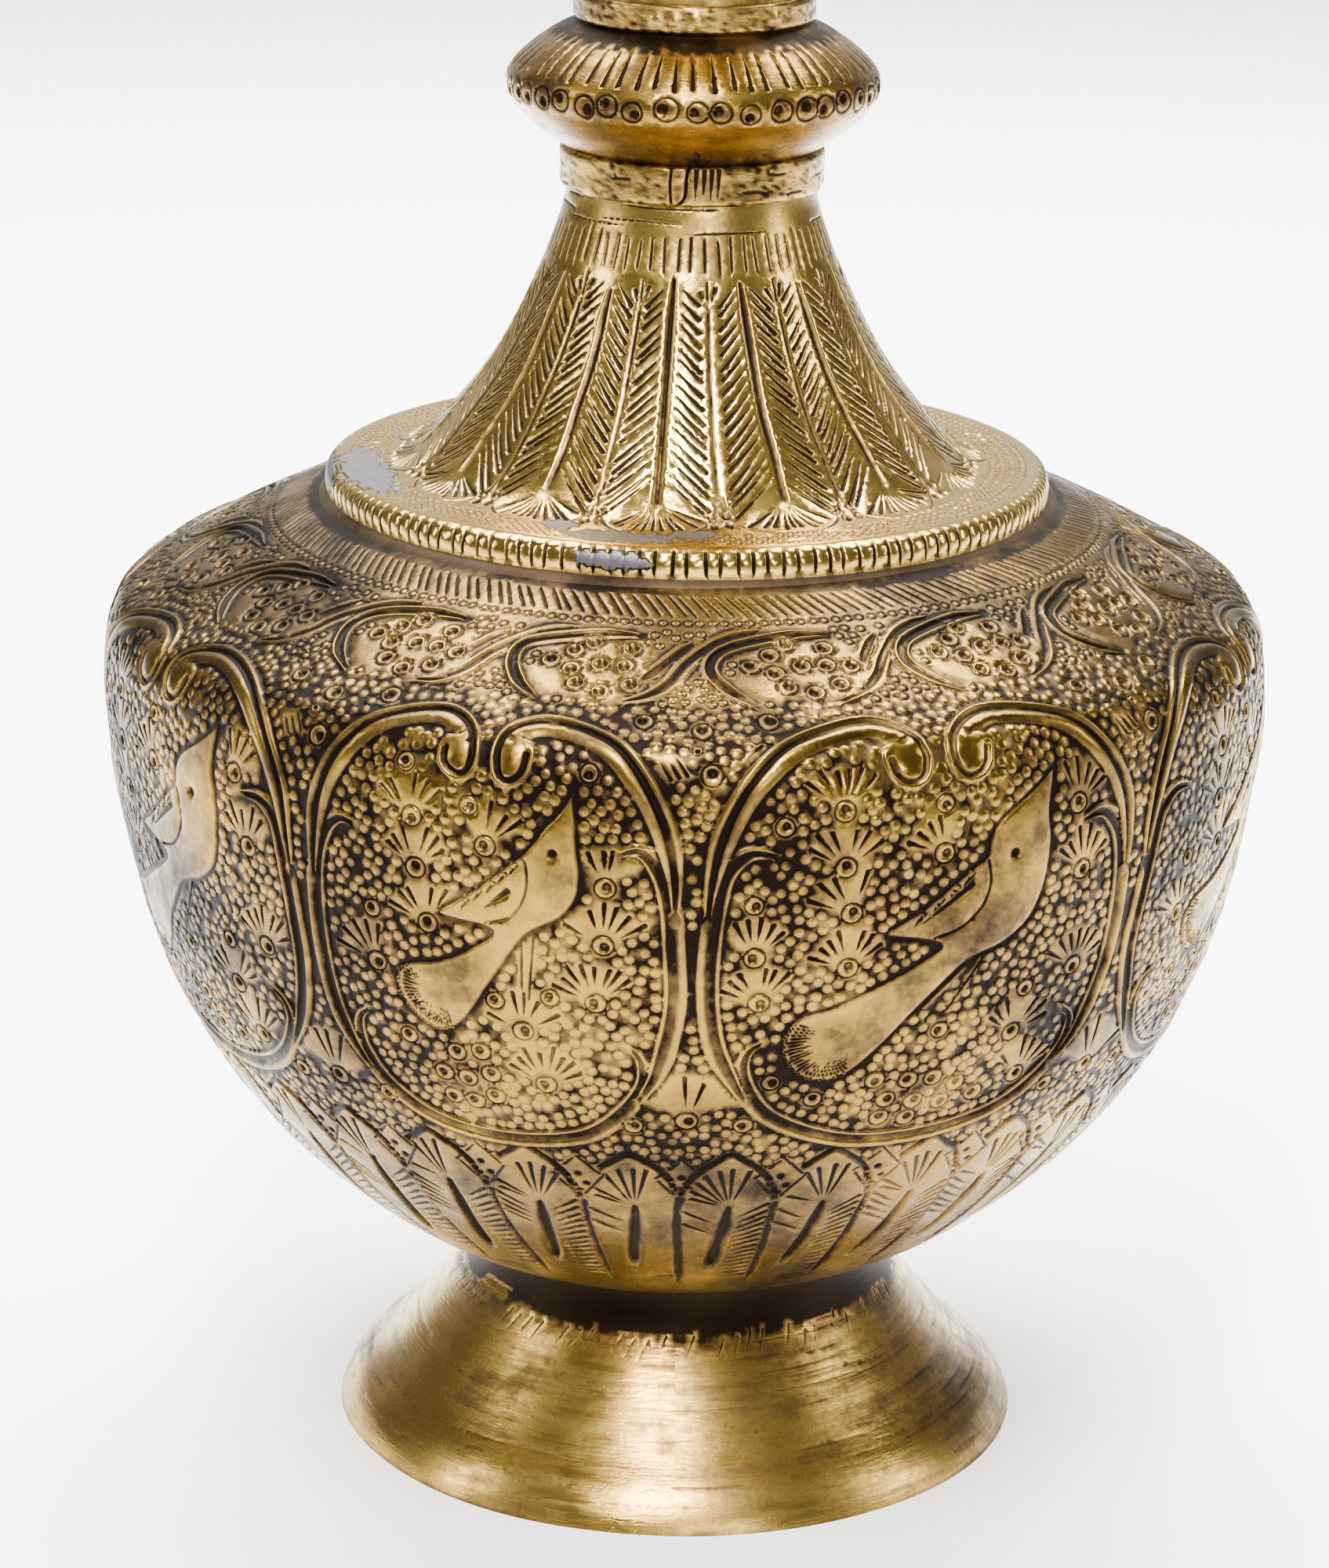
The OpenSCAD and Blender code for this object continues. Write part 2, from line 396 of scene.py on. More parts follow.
# %% Smooth fields
def spread_points(plate, outline, spacing, lift, tarnish, inset=0.45):
    """Fills a closed outline with loosely placed points."""
    low, high = outline.min(0), outline.max(0)
    x, y = np.meshgrid(np.arange(low[0], high[0], spacing), np.arange(low[1], high[1], spacing))
    shake = np.random.RandomState(len(outline)).uniform(-0.25, 0.25, (2,) + x.shape) * spacing
    x, y = (x + shake[0]).ravel(), (y + shake[1]).ravel()
    closed = np.vstack([outline, outline[:1]])
    edge = away(closed, x, y)
    keep = within(outline, x, y) & (edge > inset)
    rise = lift(edge[keep]) if callable(lift) else lift
    plate.add(x[keep], y[keep], rise, tarnish)


def figure(plate, points, swell=0.28, spacing=1.3):
    """A smooth raised field with a cut outline."""
    closed = walk(list(points) + [points[0]], 0.55, 6)
    scale = float(plate.chart.scale(closed[:, 1].mean()))
    outline = closed[:-1]
    area = np.sum(outline[:, 0] * np.roll(outline[:, 1], -1) - np.roll(outline[:, 0], -1) * outline[:, 1])
    along = np.roll(outline, -1, axis=0) - np.roll(outline, 1, axis=0)
    along /= np.hypot(*along.T)[:, None]
    inward = np.c_[-along[:, 1], along[:, 0]] * np.sign(area)
    for offset, lift, tarnish in ((-0.3, GROUND, 0.95), (0.0, -0.36, 1.0), (0.28, -0.02, 0.3),
                                  (0.55, 0.03, 0.04)):
        p = outline + inward * offset * scale
        right = away(closed, p[:, 0], p[:, 1]) > abs(offset) * scale - 0.1
        sunk = within(outline, p[:, 0], p[:, 1]) == (offset > 0) if offset else True
        p = p[right & sunk]
        plate.add(p[:, 0], p[:, 1], lift, tarnish)
    return outline, lambda edge: 0.03 + swell * (1 - np.exp(-edge / 3.0))


print("marks ready")

# %% [markdown]
# ## The medallions
# Eight scrolled medallions run round the belly, each with a long-tailed bird among
# stacked flower fans. Their widths differ by a few degrees, as hand-stepped spacing does.
# Two drawings of the bird take turns. A frame is three ribs on either side: an arch that
# starts in a curl, a side that starts in a hooked leaf, and a shared base. Each next rib
# is struck after the one above it and tucks in under it.

# %% Cross-sections of the frame
# Rows run from the outside of the medallion inwards: offset, lift, tarnish.
CURL = [(3.3, -0.34, 1.0), (3.0, 0.02, 0.25), (1.9, 0.26, 0.0), (0.75, 0.2, 0.05),
        (0.45, -0.1, 0.7), (0.2, -0.38, 1.0), (-0.25, -0.38, 0.9), (-0.45, 0.0, 0.4),
        (-0.75, 0.14, 0.05), (-1.0, 0.02, 0.3), (-1.25, -0.34, 1.0)]
ARCH = [(2.5, -0.34, 1.0), (2.2, 0.02, 0.25), (1.3, 0.28, 0.0), (0.45, 0.2, 0.05),
        (0.2, -0.1, 0.7), (-0.02, -0.4, 1.0), (-0.55, -0.38, 0.85), (-0.78, 0.0, 0.4),
        (-1.2, 0.24, 0.0), (-1.6, 0.04, 0.2), (-1.9, -0.34, 1.0)]
FLANK = [(1.5, -0.34, 1.0), (1.3, 0.02, 0.3), (1.1, 0.12, 0.05), (0.88, 0.04, 0.3),
         (0.72, -0.12, 0.7), (0.52, -0.38, 0.9), (-0.5, -0.4, 0.7), (-0.75, 0.0, 0.4),
         (-1.2, 0.28, 0.0), (-1.7, 0.06, 0.15), (-2.0, -0.34, 1.0)]

# The left half of a medallion 33.4 mm half-wide, as (round, up) from its middle.
ARCH_PATH = [(-7, 29), (-6.4, 26.6), (-4, 25.4), (-2.2, 27), (-2.2, 30.4), (-4.4, 33.4), (-9, 34.9),
             (-15, 34), (-21, 30.8), (-26, 25.6), (-29.4, 19), (-30.8, 12), (-31, 5.5)]
SIDE_PATH = [(-22, 15.6), (-25.5, 16.2), (-28.4, 13.6), (-30, 8.5), (-30.8, 1), (-30.7, -7),
             (-29.6, -14), (-27.6, -19.5), (-24.8, -24.4)]
BASE_PATH = [(-22.6, -13.4), (-25.2, -15.4), (-25.6, -19.6), (-22.6, -25.2), (-16.8, -29.6),
             (-9, -32.2), (0, -33), (9, -32.4), (16.8, -30), (22.6, -25.8), (25.6, -20.4),
             (25.2, -16.2), (22.4, -14)]
HALF_WIDTH = 33.4
MIDDLE_UP = 100.0

# %% Two drawings of the bird and its garden
BIRDS = [
    {"body": [(14.8, 25.2), (15.2, 20.5), (15.6, 16), (16, 12.5), (15.4, 9), (13, 6), (9.6, 4.2),
              (7.2, 2.8), (5, 0.4), (0.6, -5.6), (-2.6, -10), (-6.2, -13.6), (-9.8, -14.4), (-13.4, -12.6),
              (-16, -9), (-15.6, -5.4), (-13, -3.9), (-9, -3.2), (-4.4, -1.4), (1.6, 2.2), (0.2, 3.5),
              (-4, 3.9), (-7.6, 4.7), (-3.4, 7.4), (1, 10.4), (4.6, 13.2), (7, 15), (8.4, 16.4),
              (10.4, 19), (12.8, 21.4), (14.2, 23.6)],
     "wing": [(0.4, 4), (4.4, 5.2), (6.8, 8), (7.6, 11.4), (7.2, 14.4)],
     "eye": (11.7, 15.4), "fan_from": (-8, -8), "fan": (-13.6, -4.6, -6.6, -13.6),
     "mark": [(0, 6), (4.6, 9.4)],
     "nicks": [(-2.4, 7.4), (-0.2, 8.9), (2, 10.4), (4, 12), (5.8, 13.4)],
     "legs": [[(6.4, 1.6), (6.1, -5.6)], [(8.4, 2.2), (7.2, -7.4)]],
     "flowers": [(-11.8, 18.6, 92, 50), (-11.4, 10.8, 95, 52), (-9.8, 2.8, 112, 48), (-19.6, -5, 125, 40),
                 (0.8, 15.4, 84, 42), (20.2, 10.6, 88, 46), (19.8, 1.8, 92, 58), (18.4, -7.2, 95, 60),
                 (6, -13, 95, 62), (9, -21.6, 88, 60), (12.6, 21.4, 130, 30)],
     "dots": [(-13, 26.2), (-19.8, 3.6), (-15.5, -16.6), (-2, 21.2), (17.4, 27), (10.8, -7), (1.6, -8.4)],
     "grapes": [(-6.6, -18), (-2, -17.2), (-9.4, -21.8), (-5, -22.2), (-0.6, -21), (-8.8, -26),
                (-4.7, -26.4), (-0.6, -25.2)]},
    {"body": [(17, 25), (16.3, 21), (16, 18), (16.5, 14.5), (16.4, 10), (15.8, 6), (14, 2), (10.4, -0.8),
              (6.4, -2.2), (3.8, -3.8), (-2, -10), (-6, -15), (-10.4, -19.4), (-14.4, -20.6), (-18, -19.2),
              (-20.4, -15), (-18.8, -10), (-13.6, -8.2), (-7, -4.9), (0.6, -0.4), (-0.4, 1), (-3.4, 1.9),
              (-7.2, 3), (-3.4, 5.4), (0.6, 8.4), (4, 11.2), (6.4, 13), (7, 16), (8.8, 18.6), (12, 20.8),
              (15, 23)],
     "wing": [(-0.2, 1.6), (3.6, 2.8), (6.4, 5.6), (7.4, 9), (6.8, 12.6)],
     "eye": (10.8, 13), "fan_from": (-11, -13), "fan": (-18.9, -10.2, -10.8, -19.2),
     "mark": [(-2.4, 4), (4.8, 9.4)],
     "nicks": [(-2, 5.8), (0.4, 7.6), (2.6, 9.4), (4.6, 11)],
     "legs": [[(4.6, -3.6), (-0.8, -9.4)], [(7.4, -2.8), (3, -10.4)]],
     "flowers": [(-13.6, 21.8, 95, 48), (-13.5, 13.8, 95, 55), (-12.4, 6.6, 120, 42), (-12.2, -2, 95, 60),
                 (-25, 0.4, 92, 45), (-24, -7, 100, 55), (0, 14.6, 120, 40), (22.8, 8, 90, 50),
                 (24, -7.6, 88, 58), (14.8, -16.4, 88, 62), (17.6, -24.6, 85, 50), (21, 18.6, 70, 40)],
     "dots": [(-21.4, 20.2), (0.2, 22), (-25, 8.8), (2.4, -13.6), (-21.4, -20.4), (-15.4, -24),
              (15.6, -9)],
     "grapes": [(-6, -21.6), (-1.2, -22.2), (3, -22), (7.2, -23.8), (-3.8, -25.2), (0.8, -26),
                (5.2, -26.8), (-4.4, -28.6), (0.2, -29.4), (10.6, -26.8)]},
]


# %% Striking one medallion
def flower(plate, x, y, turn, spread, radius=1.8, reach=5.2):
    """A ringed dot with a fan of wedges standing over it, on a smooth field."""
    k = float(plate.chart.scale(y))
    if plate.taken[plate.cells(x, y)]:
        return
    dot(plate, x, y, radius)
    count = max(4, int(spread / 8.5))
    for i in range(count + 1):
        lean = math.radians(turn + spread * (2 * i / count - 1) + chance.uniform(-3, 3))
        near = (radius + chance.uniform(0.5, 0.9)) * k
        far = (radius + reach * chance.uniform(0.7, 1.0)) * k
        tip = np.array([x + math.cos(lean) * near, y + math.sin(lean) * near])
        heel = np.array([x + math.cos(lean) * far, y + math.sin(lean) * far])
        middle = (tip + heel) / 2
        if plate.free(*heel) and plate.free(*middle):
            wedge(plate, tip, heel, 0.92, 0.46, over=True)
    field = [(x + math.cos(math.radians(turn + a)) * r * k, y + math.sin(math.radians(turn + a)) * r * k)
             for a, r in [(s, radius + reach * 0.9) for s in np.linspace(-spread - 8, spread + 8, 8)]
             + [(spread, radius), (-spread, radius)]]
    field = np.array(field)
    spread_points(plate, field, 0.8 * k, 0.0, 0.12, 0.15)
    plate.stamp_shape(field)


def medallion(plate, centre, half, bird, rough):
    """One framed bird. centre and half are chart millimetres, rough is the hand's wobble."""
    squeeze = half / HALF_WIDTH
    reach = lambda p: (centre + p[0] * squeeze, float(plate.chart.y(MIDDLE_UP + p[1])))
    shaky = lambda p: (p[0] + chance.uniform(-rough, rough), p[1] + chance.uniform(-rough, rough))
    frame_path = lambda points, side: walk([reach(shaky((p[0] * side, p[1]))) for p in points], 0.9)
    arch = [(0, CURL), (0.2, CURL), (0.34, ARCH), (0.6, ARCH), (1, FLANK)]
    for side in (1, -1):
        rib(plate, frame_path(ARCH_PATH, side), arch, side=-side, end=0.25, round_start=True)
    for side in (1, -1):
        rib(plate, frame_path(SIDE_PATH, side), [(0, FLANK), (1, FLANK)], side=-side, start=0.3, end=0.3)
    rib(plate, frame_path(BASE_PATH, 1), [(0, FLANK), (1, FLANK)], side=-1, start=0.3, end=0.3)

    outline, swell = figure(plate, [reach(p) for p in bird["body"]])
    cut(plate, [reach(p) for p in bird["wing"]], depth=1.0, margin=0.1)
    eye = reach(bird["eye"])
    pit(plate, *eye, radius=0.95, deep=0.45)
    for x, y in bird["nicks"]:
        wedge(plate, reach((x - 1.5, y - 2.2)), reach((x, y)), 1.0, 0.42)
    tail, tip = bird["mark"]
    wedge(plate, reach(tail), reach(tip), 1.3, 0.45)
    x0, y0, x1, y1 = bird["fan"]
    fx, fy = bird["fan_from"]
    a0, a1 = math.atan2(y0 - fy, x0 - fx), math.atan2(y1 - fy, x1 - fx)
    if a1 < a0:
        a1 += 2 * math.pi
    for i in range(26):
        lean = a0 + (a1 - a0) * (i + 0.5) / 26
        way = np.array([math.cos(lean), math.sin(lean)])
        far = np.arange(3.0, 14.0, 0.2)
        ray = np.array([reach((fx + way[0] * f, fy + way[1] * f)) for f in far])
        inside = within(outline, ray[:, 0], ray[:, 1])
        if inside.any():
            stop = far[inside][-1] - 0.3
            wedge(plate, reach((fx + way[0] * (stop - 3.8), fy + way[1] * (stop - 3.8))),
                  reach((fx + way[0] * stop, fy + way[1] * stop)), 0.6, 0.36)
    spread_points(plate, outline, 1.2, swell, 0.26, 0.75)
    plate.stamp_shape(outline)
    plate.stamp_line(np.vstack([outline, outline[:1]]), 0.42)
    for hip, toe in bird["legs"]:
        knee = ((hip[0] + toe[0]) / 2, (hip[1] + toe[1]) / 2)
        cut(plate, [reach(hip), reach(knee), reach(toe)])
    for x, y in bird["grapes"]:
        dot(plate, *reach(shaky((x, y))), 1.75, deep=0.4, margin=0.0)
    for x, y in bird["dots"]:
        if plate.free(*reach((x, y))):
            dot(plate, *reach(shaky((x, y))), 1.6)
    for x, y, turn, spread in bird["flowers"]:
        if plate.free(*reach((x, y))):
            flower(plate, *reach(shaky((x, y))), turn + chance.uniform(-5, 5), spread)


# %% Stepping the medallions round the belly
plate = Plate(belly, float(belly.y(2)), float(belly.y(172)))
degree = math.radians(1) * belly.reference
widths = [46.4, 45.6, 45.8, 46.6, 45.2, 46, 46, 38.4]
edges = [0.6]
for width in widths:
    edges.append(edges[-1] + width)
edges[-1] = edges[0] + 360
for i in range(8):
    half = (edges[i + 1] - edges[i]) / 2 * degree
    medallion(plate, (edges[i] + edges[i + 1]) / 2 * degree, half, BIRDS[1 - i % 2], 0.25)
print("medallions struck:", sum(len(m) for m in plate.marks), "points")

# %% [markdown]
# ## Between and under the medallions
# Where two medallions meet, the smith put three ringed dots with a flower above and
# below. Under them stands a wreath of petals, four to each medallion. A petal is an
# outline, a long pit down its middle, and a comb of wedges that turns round the pit.

# %% Spandrels
for edge in edges[:-1]:
    line = edge * degree
    up = lambda x, s: (line + x, float(belly.y(100 + s)))
    for x, s, r in ((-6.6, 36, 1.7), (1.4, 34.4, 1.8), (10.6, 36.2, 1.9), (2.6, 27.4, 1.8), (0.6, 31, 0.9),
                    (-8.2, -28.6, 1.7), (8.8, -28.4, 1.7)):
        if plate.free(*up(x, s)):
            dot(plate, *up(x + chance.uniform(-0.4, 0.4), s), r)
    flower(plate, *up(0, -27.4), 90, 56, 1.9, 7.5)
    for x, lean in ((-4.6, -58), (7, 40)):
        for i in range(3):
            foot = np.array(up(x + i * 1.1, 29.6 + i * 0.3))
            way = np.array([math.cos(math.radians(lean)), math.sin(math.radians(lean))])
            if plate.free(*foot) and plate.free(*(foot + way * 3.4)):
                wedge(plate, foot, foot + way * 3.4, 0.7)

# %% Petals
PETALS = 32
PETAL_SIDE = [(8.0, 55), (7.2, 58.4), (5.2, 61.6), (2.6, 63.8), (0, 65.4)]
step = belly.round / PETALS
for i in range(PETALS):
    x = 0.6 * degree + (i + 0.45) * step + chance.uniform(-0.3, 0.3)
    tilt = chance.uniform(0.2, 1.6)
    at = lambda p: (x + p[0], float(belly.y(p[1])))
    crown = [(-a, s) for a, s in PETAL_SIDE] + [(a, s) for a, s in PETAL_SIDE[-2::-1]]
    path = walk([at(p) for p in crown], 0.9)
    rows = [(0.75, -0.02, 0.2), (0.45, -0.3, 0.9), (0.0, -0.5, 1.0), (-0.42, -0.05, 0.6),
            (-0.75, 0.14, 0.0)]
    rib(plate, path, [(0, rows), (1, rows)], side=-1, margin=0.05)
    flank = ((-8.3, 55.4), (-8.5, 48), (-8.2, 40), (-7.9, 30), (-7.9, 25.4))
    side_path = walk([at(p) for p in flank], 0.9)
    groove = [(0.8, 0.08, 0.0), (0.5, -0.1, 0.6), (0.0, -0.5, 1.0), (-0.5, -0.1, 0.6), (-0.8, 0.08, 0.0)]
    rib(plate, side_path, [(0, groove), (1, groove)], end=0.3, margin=-0.1)
    low = at((-0.6 - tilt, 33 + chance.uniform(-1, 1)))
    high = at((0.5, 54 + chance.uniform(-2, 0.6)))
    lens = [(1.9, 0.16, 0.0), (1.3, 0.14, 0.0), (0.85, -0.05, 0.3), (0.5, -0.5, 0.75), (0.0, -0.8, 0.85),
            (-0.5, -0.5, 0.9), (-0.85, -0.05, 0.5), (-1.3, 0.14, 0.0), (-1.9, 0.16, 0.0)]
    spine = walk([low, at((-0.8, 38)), at((0.1, 46)), high], 1.1)
    rib(plate, spine, [(0, lens), (1, lens)], start=0.35, end=0.5, margin=-0.5)
    for side in (-1, 1):
        for j in range(18):
            s = 27.6 + j * 1.62 + chance.uniform(-0.15, 0.15)
            root = at((side * 2.3 - 0.5 + 0.05 * j, s))
            heel = at((side * 7.5, s + min(3.8, 0.6 + 0.2 * j)))
            heel = (heel[0], float(min(heel[1], belly.y(60))))
            if plate.free(*heel):
                wedge(plate, root, heel, 0.98, 0.4, tarnish=0.85, shared=0.05)
    top = np.array(high)
    for j in range(11):
        lean = math.radians(90 + (j - 5) * 13.5 + chance.uniform(-2, 2))
        way = np.array([math.cos(lean), math.sin(lean)])
        k = float(belly.scale(top[1]))
        far = (6.6 + 2.4 * math.cos((j - 5) * 0.36)) * k
        if plate.free(*(top + way * far)):
            wedge(plate, top + way * 1.6 * k, top + way * far, 1.0, 0.4, tarnish=0.85, shared=0.05)
    # The diamond in the notch between this petal and the next
    notch = x + step / 2
    for dx, s, r in ((-1.5, 58.6, 0.75), (1.3, 58.2, 0.75), (0.1, 56.6, 0.6), (0.1, 60.4, 0.8)):
        pit(plate, notch + dx, float(belly.y(s)), r, 0.4)
    diamond = ((0, 54.6), (4.2, 60.2), (0.2, 64.4), (-4.2, 60.2))
    field = np.array([(notch + a, float(belly.y(s))) for a, s in diamond])
    for a, b in zip(field, np.roll(field, -1, axis=0)):
        middle = (a + b) / 2
        cut(plate, [a, middle, b], depth=0.8)
    spread_points(plate, field, 1.1, 0.02, 0.1, 0.4)
    plate.stamp_shape(field)
    whole = np.vstack([path, [at((8.2, 40)), at((8, 26)), at((-8, 26)), at((-8.2, 40))]])
    spread_points(plate, whole, 1.25, 0.06, 0.12, 0.5)
    plate.stamp_shape(whole)
print("petals struck:", sum(len(m) for m in plate.marks), "points")

# %% [markdown]
# ## The shoulder
# Two cells to each medallion: a thick curved stem that hooks round a field of ringed
# dots, and slanting leaves that fill the gap to the next one. Above them run a single
# row of rings and a band of slanted cuts, which the flange of the neck half covers.

# %% Stems, leaves and cells
STEM = [(1.3, -0.3, 1.0), (1.05, 0.02, 0.3), (0.8, 0.1, 0.05), (0.55, -0.02, 0.4), (0.4, -0.4, 1.0),
        (-0.45, -0.42, 1.0), (-0.68, -0.02, 0.5), (-0.9, 0.12, 0.05), (-1.2, 0.04, 0.2), (-1.5, -0.3, 1.0)]
LEAF = [(1.6, -0.26, 1.0), (1.3, 0.0, 0.25), (0.8, 0.08, 0.0), (0.55, -0.02, 0.4), (0.28, -0.3, 1.0),
        (-0.28, -0.3, 0.9), (-0.55, -0.02, 0.4), (-0.8, 0.08, 0.0), (-1.3, 0.0, 0.25), (-1.6, -0.26, 1.0)]
CELL_DOTS = [(13.2, 149.5), (16.1, 151.5), (23, 150.4), (18.1, 147), (13.5, 145.8), (14.9, 142.9),
             (19.1, 141.6), (23.5, 143.1), (26.3, 146.4), (9.6, 147.2), (22.3, 147)]
period = belly.round / 16
for i in range(16):
    x = 0.6 * degree + i * period
    wob = lambda: chance.uniform(-0.25, 0.25)
    path = lambda points: walk(belly.lay([(x + a + wob(), s + wob()) for a, s in points]), 0.9)
    stem = [(9.5, 139.5), (5.5, 142.5), (3, 146.5), (4.3, 150), (9.5, 152.2), (18, 153.4), (25, 153.3)]
    rib(plate, path(stem), [(0, STEM), (1, STEM)], start=0.4, end=0.25)
    rib(plate, path([(13, 154.6), (5.5, 152.6), (-0.6, 148), (-3.6, 143.6), (-7.4, 140.9), (-11, 139.8)]),
        [(0, LEAF), (1, LEAF)], start=0.3, end=0.3)
    short_leaf = [(-8.4, 144), (-5.6, 146.2), (-2.4, 150), (0.6, 152.6)]
    rib(plate, path(short_leaf), [(0, LEAF), (1, LEAF)], start=0.3, end=0.3)
    around = ((8.6, 142.8), (12, 140.4), (20, 140), (27, 141.4), (29, 146), (27.6, 150.4),
              (23, 152), (13, 151.4), (8.4, 149.4), (7.2, 146))
    cell = np.array([(x + a, float(belly.y(s))) for a, s in around])
    for a, s in CELL_DOTS:
        spot = (x + a, float(belly.y(s)))
        if plate.free(*spot):
            dot(plate, *spot, 1.75, deep=0.5, margin=-0.25)
    spread_points(plate, cell, 0.9, 0.04, 0.1, 0.2)
    plate.stamp_shape(cell)

# %% Row of rings and band of slanted cuts
ROW_UP, CUTS_LOW, CUTS_HIGH = 156.3, 157.7, 162.2
for i in range(225):
    x = (i + chance.uniform(-0.1, 0.1)) * belly.round / 225
    light_ring(plate, x, float(belly.y(ROW_UP)), 0.8)
row = float(belly.y(ROW_UP))
belt = float(belly.scale(row)) * 0.95
plate.taken[int((row - belt - plate.low) / CELL):int((row + belt - plate.low) / CELL)] = True
for i in range(216):
    x = (i + chance.uniform(-0.12, 0.12)) * belly.round / 216
    low = (x + 1.9, float(belly.y(CUTS_LOW + chance.uniform(0, 0.3))))
    high = (x - 1.7, float(belly.y(CUTS_HIGH + chance.uniform(-0.3, 0.3))))
    cut(plate, [low, ((low[0] + high[0]) / 2, (low[1] + high[1]) / 2), high], 0.8, 1.2, 0.9, 0.6)
for s in np.arange(157.4, 171, 0.9):
    count = int(2 * math.pi * belly.reference / float(belly.scale(belly.y(s))) / 1.1)
    x = (np.arange(count) + (s * 7 % 1)) * belly.round / count
    plate.add(x, float(belly.y(s)), 0.0, 0.35 if s < 162 else 0.8)
plate.taken[int((belly.y(157.2) - plate.low) / CELL):] = True
print("shoulder struck:", sum(len(m) for m in plate.marks), "points")

# %% [markdown]
# ## The ring ground
# Every place that is still free gets hollow-punch rings. The smith works along the
# outlines first and fills towards the middle, row by row. The same order is used here: the
# distance from everything taken sets which place is struck next, and each ring
# keeps the next one a ring's width away.

# %% Filling with rings
def distance_in(taken, levels):
    """How many cells each free cell lies from the nearest taken one, up to levels."""
    depth = np.zeros(taken.shape, np.uint8)
    covered = taken.copy()
    for level in range(levels):
        depth[~covered] = level + 1
        grown = covered.copy()
        grown[1:] |= covered[:-1]
        grown[:-1] |= covered[1:]
        grown |= np.roll(covered, 1, 1) | np.roll(covered, -1, 1)
        if level % 2:
            grown[1:] |= np.roll(covered, 1, 1)[:-1] | np.roll(covered, -1, 1)[:-1]
            grown[:-1] |= np.roll(covered, 1, 1)[1:] | np.roll(covered, -1, 1)[1:]
        covered = grown
    return depth


def fill_with_rings(plate, radius, low, high, light_above, levels=44):
    """Packs rings on all free room between two chart heights, with light blows high up."""
    depth = distance_in(plate.taken, levels)[::2, ::2].astype(float) * CELL
    y = plate.low + (np.arange(depth.shape[0]) * 2 + 0.5) * CELL
    scale = plate.chart.scale(y)
    slack = depth - (radius + 0.03) * scale[:, None]
    slack[(y < low) | (y > high)] = -1
    row, column = np.nonzero(slack >= 0)
    order = np.lexsort((column, row, np.round(slack[row, column] / 0.25)))
    blocked = np.zeros(depth.shape, bool)
    columns = depth.shape[1]
    placed = []
    for r, c in zip(row[order].tolist(), column[order].tolist()):
        if blocked[r, c]:
            continue
        placed.append((r, c))
        reach = 2 * radius * scale[r] * 0.95 / (2 * CELL)
        n = int(reach) + 1
        span = np.arange(-n, n + 1)
        disc = span[:, None] ** 2 + span[None, :] ** 2 < reach ** 2
        rows = r + span
        inside = (rows >= 0) & (rows < depth.shape[0])
        blocked[np.ix_(rows[inside], (c + span) % columns)] |= disc[inside]
    for r, c in placed:
        x = ((c * 2 + 0.5) / plate.columns - 0.5) * plate.chart.round
        blow = light_ring if y[r] > light_above else ring
        blow(plate, x + chance.uniform(-0.06, 0.06), y[r] + chance.uniform(-0.06, 0.06), radius)
        plate.stamp(x, y[r], (radius + 0.1) * scale[r])
    return len(placed)


def fill_ground(plate, low, high, spacing=1.0, lift=GROUND + 0.06, tarnish=0.85):
    """Loose points on what is left, so that the ground has a shape of its own."""
    depth = distance_in(plate.taken, 3)
    for y in np.arange(low, high, spacing):
        k = float(plate.chart.scale(y))
        x = np.arange(-plate.chart.round / 2, plate.chart.round / 2, spacing * k)
        x = x + np.array([chance.uniform(-0.3, 0.3) for _ in x])
        keep = depth[plate.cells(x, np.full(len(x), y))] >= 3
        plate.add(x[keep], y, lift, tarnish, True)


rings = fill_with_rings(plate, 0.84, float(belly.y(58)), float(belly.y(156)), float(belly.y(139.5)))
fill_ground(plate, float(belly.y(56)), float(belly.y(139)))
fill_ground(plate, float(belly.y(139)), float(belly.y(157)), 0.8, -0.03, 0.35)
for s in np.arange(3, 57, 1.6):
    count = int(2 * math.pi * belly.reference / float(belly.scale(belly.y(s))) / 1.8)
    x = (np.arange(count) + (s * 7 % 1)) * belly.round / count
    plate.add(x, float(belly.y(s)), 0.0, 0.3)
print("rings struck:", rings)

# %% [markdown]
# ## From marks to metal
# The marks are only points. A Delaunay triangulation joins each one to its nearest
# neighbours, so that every groove and dome keeps its own edges, with small triangles where
# there is work and large ones on plain metal. The sheet is then cut into sectors of
# manageable size. Neighbours share their edge points and their normals, so the cuts don't
# show. Each sector gets a plain inner wall and becomes a closed solid.

# %% Triangulating a plate
def spaced(points, gap=0.12):
    """Drops points that lie closer than half a gap to one that comes before them."""
    for dx, dy in ((0, 0), (0.5, 0), (0, 0.5), (0.5, 0.5)):
        cell = np.floor(points[:, :2] / gap + (dx, dy)).astype(np.int64)
        _, first = np.unique(cell[:, 0] * 100003 + cell[:, 1], return_index=True)
        points = points[np.sort(first)]
    return points


def delaunay(x, y, edges=()):
    flat = [Vector(p) for p in zip(x.tolist(), y.tolist())]
    return np.array(delaunay_2d_cdt(flat, list(edges), [], 0, 1e-6, False)[2])


